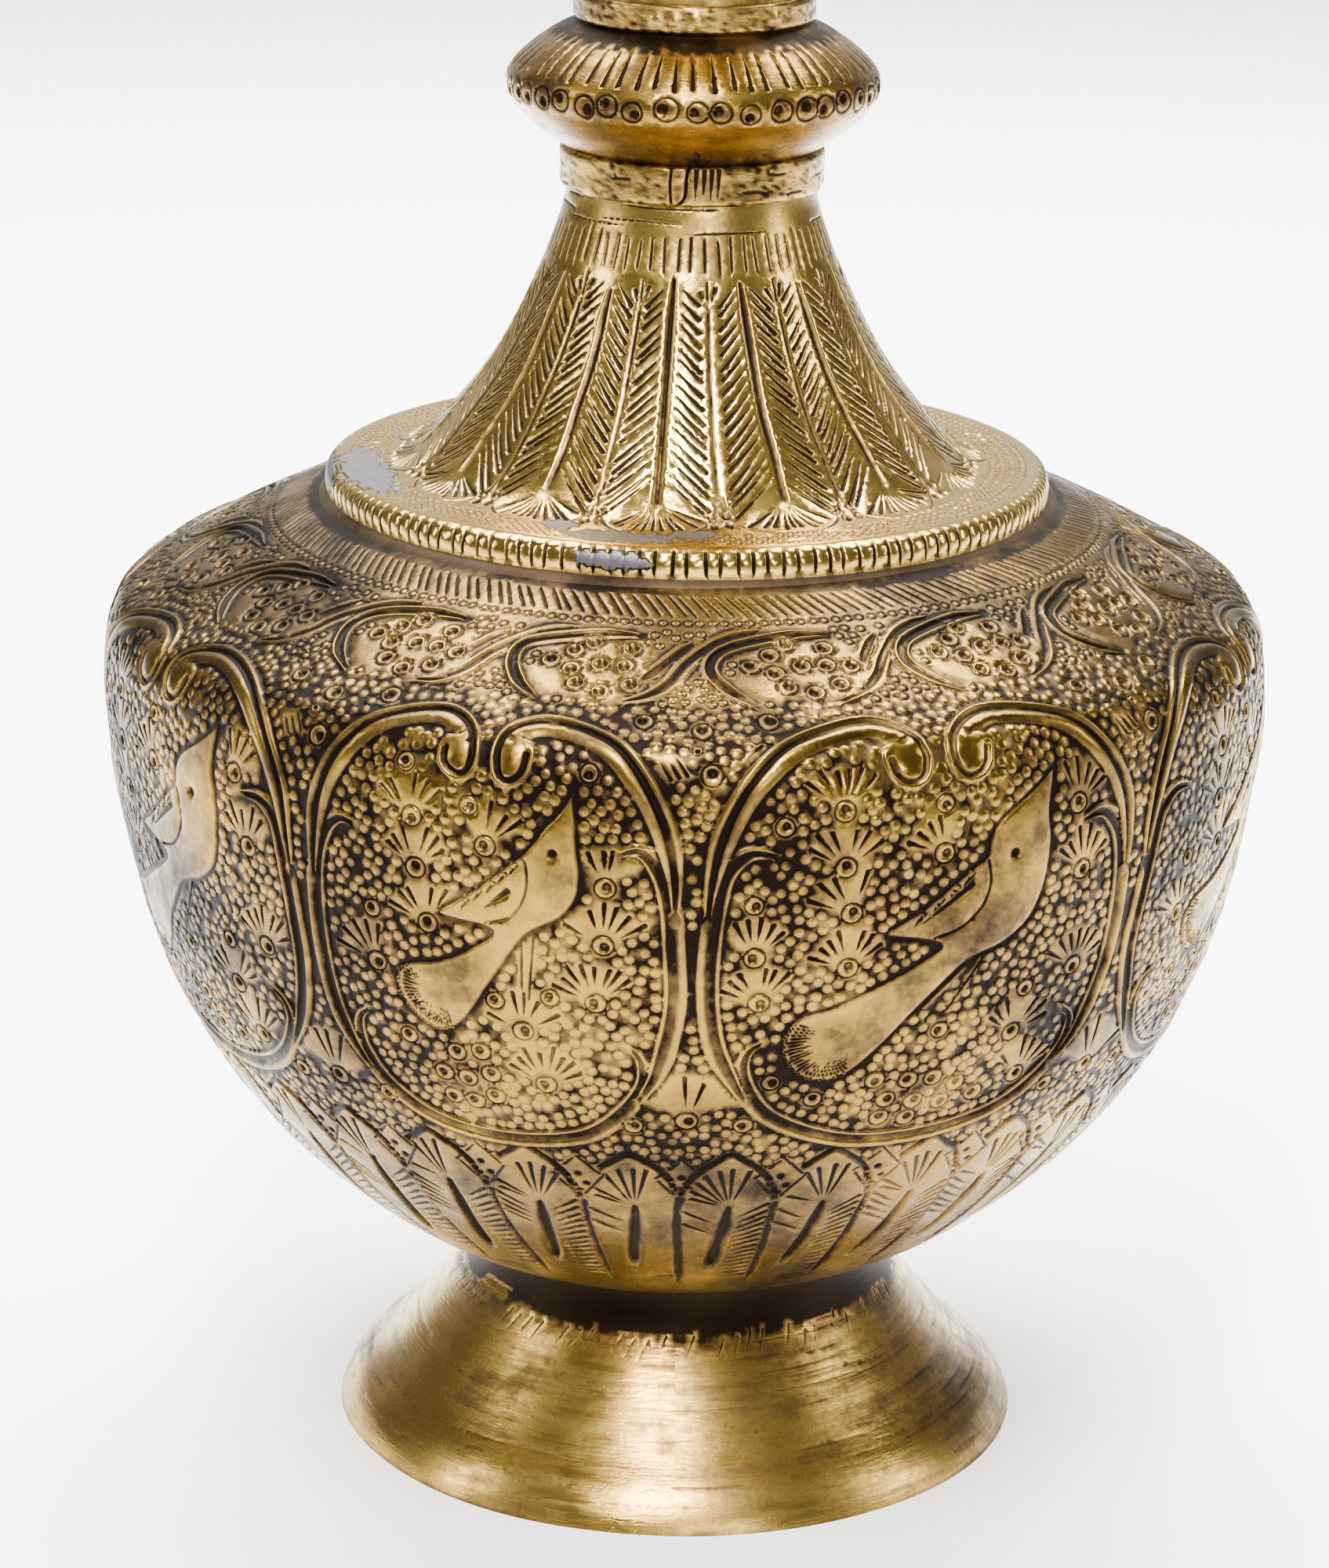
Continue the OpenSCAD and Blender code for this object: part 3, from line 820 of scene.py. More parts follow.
def triangulate(plate):
    """Joins the marks into triangles. Returns points (x, y, lift, tarnish) and corners.

    The plate closes round the back. The edges near that line are found first, and both
    ends of the plate are made to use them, so that they fit together.
    """
    chart = plate.chart
    half = chart.round / 2
    rim = int(chart.round / 1.4)
    edge_x = (np.arange(rim) / rim - 0.5) * chart.round
    rows = [np.c_[edge_x, np.full(rim, y), np.zeros(rim), np.full(rim, 0.4)]
            for y in (plate.low, plate.high)]
    points = np.vstack(rows + plate.marks)
    points[:, 0] = (points[:, 0] + half) % chart.round - half
    points = spaced(points)
    x, y = points[:, 0], points[:, 1]
    strip, inner = 20.0, 8.0
    ends = np.nonzero(np.abs(x) > half - strip)[0]
    local = x[ends] % chart.round - half
    found = delaunay(local, y[ends])
    found = found[(np.abs(local[found]) < inner).all(1)]
    pairs = np.unique(np.sort(np.vstack([found[:, [0, 1]], found[:, [1, 2]], found[:, [2, 0]]]), 1), axis=0)
    left = np.nonzero(x > half - strip)[0]
    right = np.nonzero(x < strip - half)[0]
    source = np.r_[np.arange(len(points)), left, right]
    full_x = np.r_[x, x[left] - chart.round, x[right] + chart.round]
    at_left = np.full(len(points), -1)
    at_left[right] = right
    at_left[left] = len(points) + np.arange(len(left))
    at_right = np.full(len(points), -1)
    at_right[left] = left
    at_right[right] = len(points) + len(left) + np.arange(len(right))
    kept = [tuple(e) for side in (at_left, at_right) for e in side[ends[pairs]].tolist()]
    corners = delaunay(full_x, y[source], kept)
    centre = full_x[corners].mean(1)
    corners = corners[(centre >= -half) & (centre < half)]
    a, b, c = (np.c_[full_x, y[source]][corners[:, i]] for i in range(3))
    turned = (b - a)[:, 0] * (c - a)[:, 1] - (b - a)[:, 1] * (c - a)[:, 0] < 0
    corners[turned] = corners[turned][:, ::-1]
    return points, source[corners]


def open_edges(corners):
    """Starts and ends of the edges that belong to one triangle only."""
    starts = np.r_[corners[:, 0], corners[:, 1], corners[:, 2]]
    ends = np.r_[corners[:, 1], corners[:, 2], corners[:, 0]]
    key = starts.astype(np.int64) * 10 ** 7 + ends
    back = ends.astype(np.int64) * 10 ** 7 + starts
    alone = ~np.isin(key, back)
    return starts[alone], ends[alone]


def tidy_labels(corners, label, count):
    """Moves triangles between pieces until no piece's outline touches itself."""
    for _ in range(12):
        changed = 0
        for piece in range(count):
            starts, _ends = open_edges(corners[label == piece])
            found, times = np.unique(starts, return_counts=True)
            pinched = found[times > 1]
            if len(pinched):
                label[np.isin(corners, pinched).any(1)] = piece
                changed += len(pinched)
        if not changed:
            return
    print("outlines still pinched:", changed)


def normals_of(place, corners):
    """Area-weighted point normals."""
    a, b, c = (place[corners[:, i]] for i in range(3))
    face = np.cross(b - a, c - a)
    total = np.zeros_like(place)
    for i in range(3):
        np.add.at(total, corners[:, i], face)
    return total / np.maximum(np.linalg.norm(total, axis=1), 1e-20)[:, None]


def outline_loops(corners):
    """The open edges of some triangles, as closed loops of point numbers."""
    starts, ends = open_edges(corners)
    follow = dict(zip(starts.tolist(), ends.tolist()))
    loops = []
    while follow:
        first, here = follow.popitem()
        loop = [first]
        while here != first:
            loop.append(here)
            here = follow.pop(here)
        loops.append(loop)
    return loops


def metal(name, chart, points, corners, place, normal, wall=WALL, inner_gap=4.0):
    """One sector as a closed solid, with a plain inner wall."""
    used = np.unique(corners)
    number = {p: i for i, p in enumerate(used.tolist())}
    renumber = np.searchsorted(used, corners)
    turn = points[used, 0] / chart.reference
    middle_x = math.atan2(np.sin(turn).sum(), np.cos(turn).sum()) * chart.reference
    half = chart.round / 2
    unrolled = lambda p: (points[p, 0] - middle_x + half) % chart.round - half + middle_x
    loops = outline_loops(corners)
    rim = [p for loop in loops for p in loop]
    rim_x, rim_y = unrolled(np.array(rim)), points[rim, 1]
    edges, at = [], 0
    for loop in loops:
        edges += [(at + i, at + (i + 1) % len(loop)) for i in range(len(loop))]
        at += len(loop)
    low, high = rim_y.min(), rim_y.max()
    gx, gy = np.meshgrid(np.arange(rim_x.min() + 1, rim_x.max(), inner_gap),
                         np.arange(low + 1.5, high - 1, inner_gap))
    gap = np.hypot(gx.ravel()[:, None] - rim_x[None, ::3], gy.ravel()[:, None] - rim_y[None, ::3]).min(1)
    gx, gy = gx.ravel()[gap > 1.2], gy.ravel()[gap > 1.2]
    flat = [Vector(p) for p in zip(np.r_[rim_x, gx].tolist(), np.r_[rim_y, gy].tolist())]
    found = delaunay_2d_cdt(flat, edges, [], 0, 1e-6, True)
    back_xy = np.array([tuple(v) for v in found[0]])
    back = np.array(found[2])
    middle = back_xy[back].mean(1)
    back = back[within(np.c_[rim_x, rim_y], middle[:, 0], middle[:, 1])]
    back_place = chart.roll(back_xy[:, 0], back_xy[:, 1], np.full(len(back_xy), -wall))
    shift = len(used)
    match = {}
    for new, olds in enumerate(found[3]):
        for old in olds:
            match[old] = new
    back_faces = (shift + back[:, ::-1]).tolist()
    side_faces = []
    for a, b in edges:
        top = [number[rim[a]], number[rim[b]]]
        side_faces.append([top[1], top[0], shift + match[a], shift + match[b]])
    mesh = bpy.data.meshes.new(name)
    mesh.from_pydata(np.vstack([place[used], back_place]).tolist(), [],
                     renumber.tolist() + back_faces + side_faces)
    tarnish = np.r_[points[used, 3], np.full(len(back_xy), 0.75)]
    mesh.attributes.new("tarnish", "FLOAT", "POINT").data.foreach_set("value", tarnish.astype(np.float32))
    mesh.polygons.foreach_set("use_smooth", np.ones(len(mesh.polygons), bool))
    mesh.update()
    given = np.zeros((len(mesh.loops), 3))
    outer = len(renumber) * 3
    given[:outer] = normal[corners.ravel()]
    for polygon in list(mesh.polygons)[len(renumber):]:
        given[polygon.loop_start:polygon.loop_start + polygon.loop_total] = polygon.normal
    mesh.normals_split_custom_set(given.tolist())
    piece = bpy.data.objects.new(name, mesh)
    bpy.context.scene.collection.objects.link(piece)
    return piece


def cut_into_sectors(plate, names, borders, wall=WALL):
    """Turns a plate into named solids. names are (prefix, low) bands, from the bottom up."""
    points, corners = triangulate(plate)
    chart = plate.chart
    place = chart.roll(points[:, 0], points[:, 1], points[:, 2])
    normal = normals_of(place, corners)
    x = points[corners, 0]
    wrap = x.max(1) - x.min(1) > chart.round / 2
    x[wrap] = np.where(x[wrap] < 0, x[wrap] + chart.round, x[wrap])
    x, y = x.mean(1), points[corners, 1].mean(1)
    start = borders[0]
    turn = (x - start) % chart.round
    sector = np.searchsorted(np.array(borders[1:]) - start, turn, side="right")
    sectors = len(borders) - 1
    band = sum(((y >= low).astype(int) for _, low in names[1:]), np.zeros(len(y), int))
    label = band * sectors + sector
    tidy_labels(corners, label, len(names) * sectors)
    pieces = []
    for n, (prefix, _) in enumerate(names):
        for i in range(sectors):
            name = f"{prefix}_{i + 1}" if sectors > 1 else prefix
            mine = corners[label == n * sectors + i]
            pieces.append(metal(name, chart, points, mine, place, normal, wall))
    print(names[0][0], "and others:", len(corners), "triangles in", len(pieces), "pieces")
    return pieces


# %% The belly's sheets
borders = [edge * degree for edge in edges]
seam = float(belly.y(seam_up))
belly_pieces = cut_into_sectors(plate, [("bowl_sector", 0), ("shoulder_sector", seam)], borders)

# %% [markdown]
# ## The neck cone
# The same charts and marks, on a taller sheet. Its rolled edge has short upright ticks.
# Fourteen feathers stand round the cone. Each has a deep rib, a comb of chisel cuts that
# slope away from it, and a fan at the foot. A scribed line parts each feather from the
# next, four pits sit between their feet, and a tick band closes them off at the top. In a
# few places solder has run over the flange.

# %% Striking the neck cone
cone = Chart(CONE, 50)
cone_degree = math.radians(1) * cone.reference
cone_top = float(cone.length[-1])
neck = Plate(cone, 0.0, float(cone.rise[-1]))


def on_cone(turn, s):
    return turn * cone_degree, float(cone.y(s))


TICKS = 150
TICK = [(0.4, 0.0, 0.0), (0.2, -0.28, 1.0), (0.0, -0.4, 1.0), (-0.2, -0.28, 1.0), (-0.4, 0.0, 0.0)]
for i in range(TICKS):
    turn = (i + chance.uniform(-0.14, 0.14)) * 360 / TICKS
    low = on_cone(turn + chance.uniform(-0.2, 0.2), 0.7 + chance.uniform(0, 0.5))
    high = on_cone(turn, 4.5 + chance.uniform(-0.2, 0.2))
    path = walk([low, ((low[0] + high[0]) / 2, (low[1] + high[1]) / 2), high], 0.55)
    rib(neck, path, [(0, TICK), (1, TICK)], start=0.7, end=0.9, margin=0.05)
    for s in (1.2, 2.4, 3.6):
        neck.add(*on_cone(turn + 1.2, s), 0.0, 0.0)
neck.taken[:int(cone.y(5.0) / CELL)] = True

FEATHERS = 14
RIB = [(1.3, 0.12, 0.0), (0.85, 0.1, 0.0), (0.55, -0.05, 0.4), (0.2, -0.45, 1.0), (-0.2, -0.45, 0.9),
       (-0.55, -0.05, 0.4), (-0.85, 0.1, 0.0), (-1.3, 0.12, 0.0)]
SCRIBED = [(0.4, 0.0, 0.1), (0.14, -0.16, 0.9), (-0.14, -0.16, 0.9), (-0.4, 0.0, 0.1)]
feather_step = 360 / FEATHERS
spines = []
for i in range(FEATHERS):
    middle = -6 + i * feather_step + chance.uniform(-0.7, 0.7)
    lean = chance.uniform(-1.4, 1.4)
    spines.append((middle, lean))
    foot_up = 20 + chance.uniform(-0.7, 0.7)
    tip_up = 53 + chance.uniform(-2, 1)
    spine = lambda s: middle + lean * (s - 35) / 20
    stations = (foot_up, 27, 34, 41, 48, tip_up)
    path = walk([on_cone(spine(s) + chance.uniform(-0.3, 0.3), s) for s in stations], 1.5)
    rib(neck, path, [(0, RIB), (1, RIB)], start=0.9, end=0.5, margin=-0.5)
    gap = middle + feather_step / 2
    line = [on_cone(gap + chance.uniform(-0.25, 0.25), s) for s in (20, 27, 34, 41, 48, 53.6)]
    rib(neck, walk(line, 1.5), [(0, SCRIBED), (1, SCRIBED)], end=0.6)
    for side in (-1, 1):
        sweep = [(12.6, 20.5), (11.6, 17), (8.6, 14.2), (4.6, 12.6)]
        cut(neck, [on_cone(middle + side * a, s) for a, s in sweep], 1.0, 0.7, end=0.3)
for i in range(FEATHERS):
    middle, lean = spines[i]
    for side in (-1, 1):
        edge_turn = middle + side * feather_step / 2
        for j in range(19):
            s = 21.6 + j * 1.74 + chance.uniform(-0.2, 0.2)
            radius = float(np.interp(s, cone.length, cone.line[:, 0]))
            spine_turn = middle + lean * (s - 35) / 20
            room = abs(math.radians(edge_turn - spine_turn)) * radius
            near, far = 1.0, max(room - 1.15, 1.9)
            fall = (far - near) * chance.uniform(1.0, 1.25)
            tip = on_cone(spine_turn + side * math.degrees(near / radius), s)
            heel = on_cone(spine_turn + side * math.degrees(far / radius), s - fall)
            if heel[1] > float(cone.y(15.5)):
                wedge(neck, tip, heel, chance.uniform(0.75, 1.0), 0.42, shared=0.0)
    k = float(cone.scale(cone.y(20)))
    root = np.array(on_cone(middle, 19.4))
    for j in range(11):
        turn = math.radians(-90 + (j - 5) * 13.5 + chance.uniform(-3, 3))
        way = np.array([math.cos(turn), math.sin(turn)])
        far = 6.4 - 1.2 * math.cos((j - 5) * 0.5) + chance.uniform(-0.4, 0.4)
        if neck.free(*(root + way * far * k)):
            wedge(neck, root + way * 1.9 * k, root + way * far * k, 0.85, 0.4, shared=0.0)
    gap = middle + feather_step / 2
    for a, s in ((-1.5, 16.6), (1.3, 17.2), (-1.2, 14.9), (1.7, 15.2)):
        pit(neck, *on_cone(gap + a, s), 0.9, 0.5)
    if i % 3:
        for a, s in ((-3, 10.4), (0.6, 9.8), (3.2, 11.2)):
            pit(neck, *on_cone(gap + a + chance.uniform(-1, 1), s), 0.6, 0.35)
    for side, s in ((-1, 52.2), (1, 52.8)):
        tip = on_cone(gap + side * 0.6, s - 2.8)
        heel = on_cone(gap + side * (3.2 + chance.uniform(-0.6, 0.6)), s)
        if neck.free(*heel):
            wedge(neck, tip, heel, 0.9, 0.45, shared=0.05)
TOP_CUTS = 66
for i in range(TOP_CUTS):
    turn = (i + chance.uniform(-0.1, 0.1)) * 360 / TOP_CUTS
    low = on_cone(turn, 54.8 + chance.uniform(0, 0.4))
    high = on_cone(turn + chance.uniform(-0.5, 0.5), 59.6 + chance.uniform(-0.5, 0.5))
    cut(neck, [low, ((low[0] + high[0]) / 2, (low[1] + high[1]) / 2), high], 1.2, 1.2, 0.8, 0.8)
for s in (7.6, 9.1, 10.6, 12.1):
    radius = float(np.interp(s, cone.length, cone.line[:, 0]))
    count = int(2 * math.pi * radius / 1.55)
    for j in range(count):
        spot = ((j + s * 5 % 1) * cone.round / count, float(cone.y(s)))
        if neck.free(*spot) and neck.free(spot[0], spot[1] + 0.7) and chance.random() < 0.86:
            light_ring(neck, *spot, 0.66, 0.12)
            neck.stamp(*spot, 0.75)
for s in np.arange(0.8, cone_top, 0.9):
    radius = float(np.interp(s, cone.length, cone.line[:, 0]))
    count = int(2 * math.pi * radius / 1.1)
    x = (np.arange(count) + (s * 7 % 1)) * cone.round / count
    neck.add(x, float(cone.y(s)), 0.0, 0.05 if s < 54 else 0.3)
for _ in range(34):
    turn, s, wide = chance.uniform(-180, 180), chance.uniform(60.4, cone_top - 1), chance.uniform(5, 20)
    scratch = [on_cone(turn + wide * t, s + chance.uniform(-0.15, 0.15)) for t in (-1, 0, 1)]
    cut(neck, scratch, 1.6, 0.5, 0.2, 0.2)


def smear(turn, s, wide, tall):
    """Solder run over the sheet: it fills the cuts, and its tarnish of 3 means tin."""
    for marks in neck.marks:
        across = (marks[:, 0] / cone_degree - turn + 180) % 360 - 180
        up = np.interp(marks[:, 1], cone.rise, cone.length) - s
        edge = 0.25 * np.sin(across * 0.9 + up * 2) + 0.2 * np.sin(across * 2.3 - up * 3.1)
        inside = (across / wide) ** 2 + (up / tall) ** 2 + edge < 1
        marks[inside, 2] = np.maximum(marks[inside, 2], -0.05) + 0.05
        marks[inside, 3] = 3


for patch in ((-12, 9.8, 10, 2.8), (-12, 2.6, 6, 1.3), (1, 12.2, 4, 1.5), (-78, 9, 16, 3.6),
              (-84, 3, 9, 1.8), (-24, 12.6, 3, 1.8), (171, 9.4, 14, 2.4)):
    smear(*patch)
cone_borders = [(-36 + 60 * i) * cone_degree for i in range(7)]
neck_pieces = cut_into_sectors(neck, [("neck_sector", 0)], cone_borders)

# %% [markdown]
# ## The knop and the two bands
# Two shallow cups meet rim to rim. The upper one has a sunburst of upright cuts, and 41
# ringed dots cover the joint. The lower one is plain, and has split a little at the front.
# The bands hide the soldered tube joints. The lower one is a strip bent round until its
# ends lap; the upper one is lumpy where the solder has run under it.

# %% Striking the knop
knop = Chart(KNOP_LOW[:-1] + KNOP_HIGH, 27.9)
knop_degree = math.radians(1) * knop.reference
middle_up = float(Chart(KNOP_LOW, 27.9).length[-1])
bulb = Plate(knop, 0.0, float(knop.rise[-1]))


def on_knop(turn, s):
    return turn * knop_degree, float(knop.y(s))


def knop_dot(x, y, radius):
    """A ring struck askew, with a large pit that touches one side of it."""
    k = float(knop.scale(y))
    lean = chance.uniform(0, 6.3)
    cx, cy = circle(16, lean)
    for share, lift, tarnish in ((1.08, 0.02, 0.1), (0.9, -0.3, 1.0), (0.76, -0.04, 0.2)):
        bulb.add(x + cx * radius * k * share, y + cy * radius * k * share, lift, tarnish, True)
    px, py = x + math.cos(lean) * radius * k * 0.3, y + math.sin(lean) * radius * k * 0.3
    cx, cy = circle(10, lean)
    for share, lift, tarnish in ((0.5, -0.08, 0.3), (0.4, -0.5, 0.95)):
        bulb.add(px + cx * radius * k * share, py + cy * radius * k * share, lift, tarnish, True)
    bulb.add(px, py, -0.62, 0.8, True)
    bulb.stamp(x, y, radius * k * 1.08)


KNOP_DOTS = 41
for i in range(KNOP_DOTS):
    turn = i * 360 / KNOP_DOTS + chance.uniform(-1.2, 1.2)
    knop_dot(*on_knop(turn, middle_up + chance.uniform(-0.5, 0.4)), chance.uniform(1.7, 2.1))
for i in range(60):
    turn = (i + chance.uniform(-0.15, 0.15)) * 6
    high = on_knop(turn + chance.uniform(-0.5, 0.5), middle_up + 10.4 + chance.uniform(-0.5, 0.5))
    wedge(bulb, high, on_knop(turn, middle_up + 3.2 + chance.uniform(-0.3, 0.4)), 0.85, 0.45, shared=0.0)
crack = ((0, 7.8), (1.2, 6.4), (-0.6, 5.2), (0.8, 4), (0.2, 3))
cut(bulb, [on_knop(1 + a, s) for a, s in crack], 0.6, 1.6, end=0.4)
branch = ((0, 3.4), (1.5, 4.2), (3, 5.6))
cut(bulb, [on_knop(4 + a, s) for a, s in branch], 0.6, 1.2, start=0.3, end=0.3)
for s in np.arange(0.5, knop.length[-1], 0.75):
    radius = float(np.interp(s, knop.length, knop.line[:, 0]))
    count = int(2 * math.pi * radius / 0.9)
    x = (np.arange(count) + (s * 7 % 1)) * knop.round / count
    bulb.add(x, float(knop.y(s)), 0.0, 0.1 if s < middle_up + 9.5 else 0.75)
knop_borders = [(-50 + 90 * i) * knop_degree for i in range(5)]
cups = [("knop_lower_sector", 0), ("knop_upper_sector", float(knop.y(middle_up)))]
knop_pieces = cut_into_sectors(bulb, cups, knop_borders)

# %% The two bands
def band(name, radius, low, height, marks):
    """A band with rounded edges. marks strikes whatever its plate should carry."""
    r, edge = radius + WALL, 0.5
    guide = [[r - 1, low], [r - edge, low], [r, low + edge], [r, low + height / 2],
             [r, low + height - edge], [r - edge, low + height], [r - 1, low + height]]
    chart = Chart(guide, r)
    strip = Plate(chart, 0.0, float(chart.rise[-1]))
    marks(strip, math.radians(1) * r)
    for s in np.arange(0.3, chart.length[-1], 0.45):
        count = int(chart.round / 0.9)
        x = (np.arange(count) + (s * 7 % 1)) * chart.round / count
        worn = np.array([0.1 + 0.8 * chance.random() ** 3 for _ in x])
        strip.add(x, float(chart.y(s)), 0.0, worn)
    borders = [-chart.round / 4, chart.round / 4, chart.round * 3 / 4]
    return cut_into_sectors(strip, [(name, 0)], borders, wall=0.8)


def lap_and_ticks(strip, degree):
    top = strip.high
    cut(strip, [(-9 * degree, 1.4), (-9.6 * degree, 4), (-9 * degree, top - 1.2)], 0.4, 1.4)
    cut(strip, [(-6.4 * degree, 0.9), (-3.2 * degree, 2.4), (-2.6 * degree, top - 2.4),
                (-1.6 * degree, top - 0.6)], 0.4, 2.4)
    for turn in (1, 4.4, 7.6, 10.6):
        wedge(strip, (turn * degree, 1.8), (turn * degree + 0.2, top - 1.2), 0.8, 0.35)
    for _ in range(26):
        spot = chance.uniform(-180, 180), chance.uniform(1.6, top - 1.6)
        if strip.free(spot[0] * degree, spot[1]):
            cut(strip, [((spot[0] + a) * degree, spot[1] + chance.uniform(-0.2, 0.2)) for a in (-6, 0, 6)],
                0.8, 0.35, 0.2, 0.2)


def lumps(strip, degree):
    for turn, size in ((-18, 1.3), (-9, 1.1), (1, 1.4), (40, 1.2), (150, 1.3)):
        for share in (0.9, 0.6, 0.3, 0.0):
            cx, cy = circle(max(1, int(12 * share)))
            rise = 0.5 * (1 - share ** 2)
            strip.add(turn * degree + cx * size * share, strip.high / 2 + cy * size * share,
                      rise, 0.1, True)
        strip.stamp(turn * degree, strip.high / 2, size)


lower_band = band("lower_band_strip", 18.7, 196.2, 6.0, lap_and_ticks)
upper_band = band("upper_band_strip", 16.9, 221.0, 4.2, lumps)

# %% [markdown]
# ## The foot
# A plain flared skirt. It was turned on the lathe and never chased, apart from a row of
# faint hatching under the throat, which has nearly been polished away. So it takes few
# marks: long shallow scratches that run round it, and slow waves.

# %% Striking the foot
SCRATCH = [(-0.3, 0.0, 0.2), (0.0, -0.05, 0.5), (0.3, 0.0, 0.2)]
skirt_chart = Chart(FOOT, 50)
skirt_chart.out[0] = (1, 0)
skirt = Plate(skirt_chart, 0.0, float(skirt_chart.rise[-1]))
skirt_degree = math.radians(1) * skirt_chart.reference
for i in range(90):
    turn = chance.uniform(-180, 180)
    s = chance.uniform(3, 33)
    wide = chance.uniform(3, 16)
    points = [(turn + wide * t, s + chance.uniform(-0.15, 0.15)) for t in (-1, 0, 1)]
    path = walk([(a * skirt_degree, float(skirt_chart.y(u))) for a, u in points], 1.6)
    rib(skirt, path, [(0, SCRATCH), (1, SCRATCH)], start=0.2, end=0.2, margin=0.05)
HATCHES = 96
for i in range(HATCHES):
    turn = i * 360 / HATCHES + chance.uniform(-0.5, 0.5)
    s = 27.5 + chance.uniform(-0.8, 0.8)
    low = ((turn - 1.2) * skirt_degree, float(skirt_chart.y(s)))
    high = ((turn + 1) * skirt_degree, float(skirt_chart.y(s + 3.4)))
    if chance.random() < 0.8 and skirt.free(*high):
        wedge(skirt, low, high, 0.5, 0.1, tarnish=0.7, shared=0.4)
for s in np.arange(0.7, skirt_chart.length[-1], 1.0):
    radius = float(np.interp(s, skirt_chart.length, skirt_chart.line[:, 0]))
    count = int(2 * math.pi * radius / 1.3)
    x = (np.arange(count) + (s * 7 % 1)) * skirt_chart.round / count
    # The foot darkens towards the throat under the bowl: partly tarnish, partly painted shade from the bowl
    # above.
    throat_tarnish_and_shade = min(1.0, max(0.0, (s - 28) / 5))
    skirt.add(x, float(skirt_chart.y(s)), 0.0, 0.2 + 0.95 * throat_tarnish_and_shade)
foot_borders = [(-90 + 60 * i) * skirt_degree for i in range(7)]
foot_pieces = cut_into_sectors(skirt, [("foot_sector", 0)], foot_borders)

# %% [markdown]
# ## The plain turned pieces
# The trumpet mouth, the wire in its rim, the disc that closes the bowl underneath and the
# two fillets of solder carry no chasing. An outline is spun round the axis in one step,
# as on the lathe. The rim's wire is a torus.

# %% Spinning an outline
def turned(name, outline, steps=160):
    """Spins a closed outline, as (radius, height) in millimetres, round the pot's axis."""
    mesh = bpy.data.meshes.new(name)
    rows = [(r * MM, 0, z * MM) for r, z in outline]
    edges = [(i, (i + 1) % len(rows)) for i in range(len(rows))]
    mesh.from_pydata(rows, edges, [])
    piece = bpy.data.objects.new(name, mesh)
    bpy.context.scene.collection.objects.link(piece)
    bpy.ops.object.select_all(action="DESELECT")
    piece.select_set(True)
    bpy.context.view_layer.objects.active = piece
    bpy.ops.object.mode_set(mode="EDIT")
    bpy.ops.mesh.select_all(action="SELECT")
    bpy.ops.mesh.spin(steps=steps, angle=2 * math.pi, center=(0, 0, 0), axis=(0, 0, 1))
    bpy.ops.mesh.select_all(action="SELECT")
    bpy.ops.mesh.remove_doubles(threshold=0.000004)
    bpy.ops.mesh.normals_make_consistent(inside=False)
    bpy.ops.object.mode_set(mode="OBJECT")
    bpy.ops.object.shade_smooth_by_angle(angle=math.radians(38))
    print(name, len(mesh.polygons), "faces")
    return piece


def sheet(guide, wall=WALL, steps=8):
    """The closed outline of a sheet whose outer face runs along the guide points."""
    outer = smooth(guide, steps)
    along = np.gradient(outer, axis=0)
    along[0] = along[-1] = (0, 1)
    along /= np.hypot(*along.T)[:, None]
    inner = outer + wall * np.c_[-along[:, 1], along[:, 0]]
    return np.vstack([outer, inner[::-1]])


trumpet = turned("trumpet_sheet", sheet(TRUMPET))
floor_line = [[0.4, 31.8], [28, 31.8], [28, 31.8 + WALL], [0.4, 31.8 + WALL]]
bowl_floor = turned("bowl_floor", floor_line)
fillet = [[27.2, 31.6], [27.6, 30.7], [29, 29.6], [30, 28.8], [31, 29.4], [30.9, 31.6]]
foot_fillet = turned("foot_solder_fillet", fillet)
groove = [[53, 149], [54.2, 148.3], [55.6, 148], [56.6, 147.9], [55.9, 148.8], [55.1, 149.6], [53.6, 150]]
flange_fillet = turned("flange_solder_fillet", groove)
bpy.ops.object.select_all(action="DESELECT")
bpy.ops.mesh.primitive_torus_add(major_radius=0.0375, minor_radius=0.0016, major_segments=160,
                                 minor_segments=20, location=(0, 0, 0.2844))
rim = bpy.context.object
rim.name = "rim_wire_ring"
bpy.ops.object.transform_apply(location=True, rotation=True, scale=True)
bpy.ops.object.shade_smooth()

# %% [markdown]
# ## Aged brass
# Brass darkens in its hollows and stays bright where hands and cloths reach. Each chased
# sheet carries that as its `tarnish` value, and the finish mixes bright metal, warm brown
# patina and near-black dirt from it, with slow patches and fine speckle on top. On the
# foot's throat under the bowl the same value also carries painted shade. Patina is
# rougher than rubbed metal, so the same value drives the roughness.

# %% The finishes
def ramp(nodes, stops):
    """A colour ramp through stops, which are (place, colour) in rising order."""
    node = nodes.new("ShaderNodeValToRGB")
    elements = node.color_ramp.elements
    for place, _ in stops[1:-1]:
        elements.new(place)
    for element, (place, colour) in zip(elements, stops):
        element.position = place
        element.color = (*colour, 1)
    return node


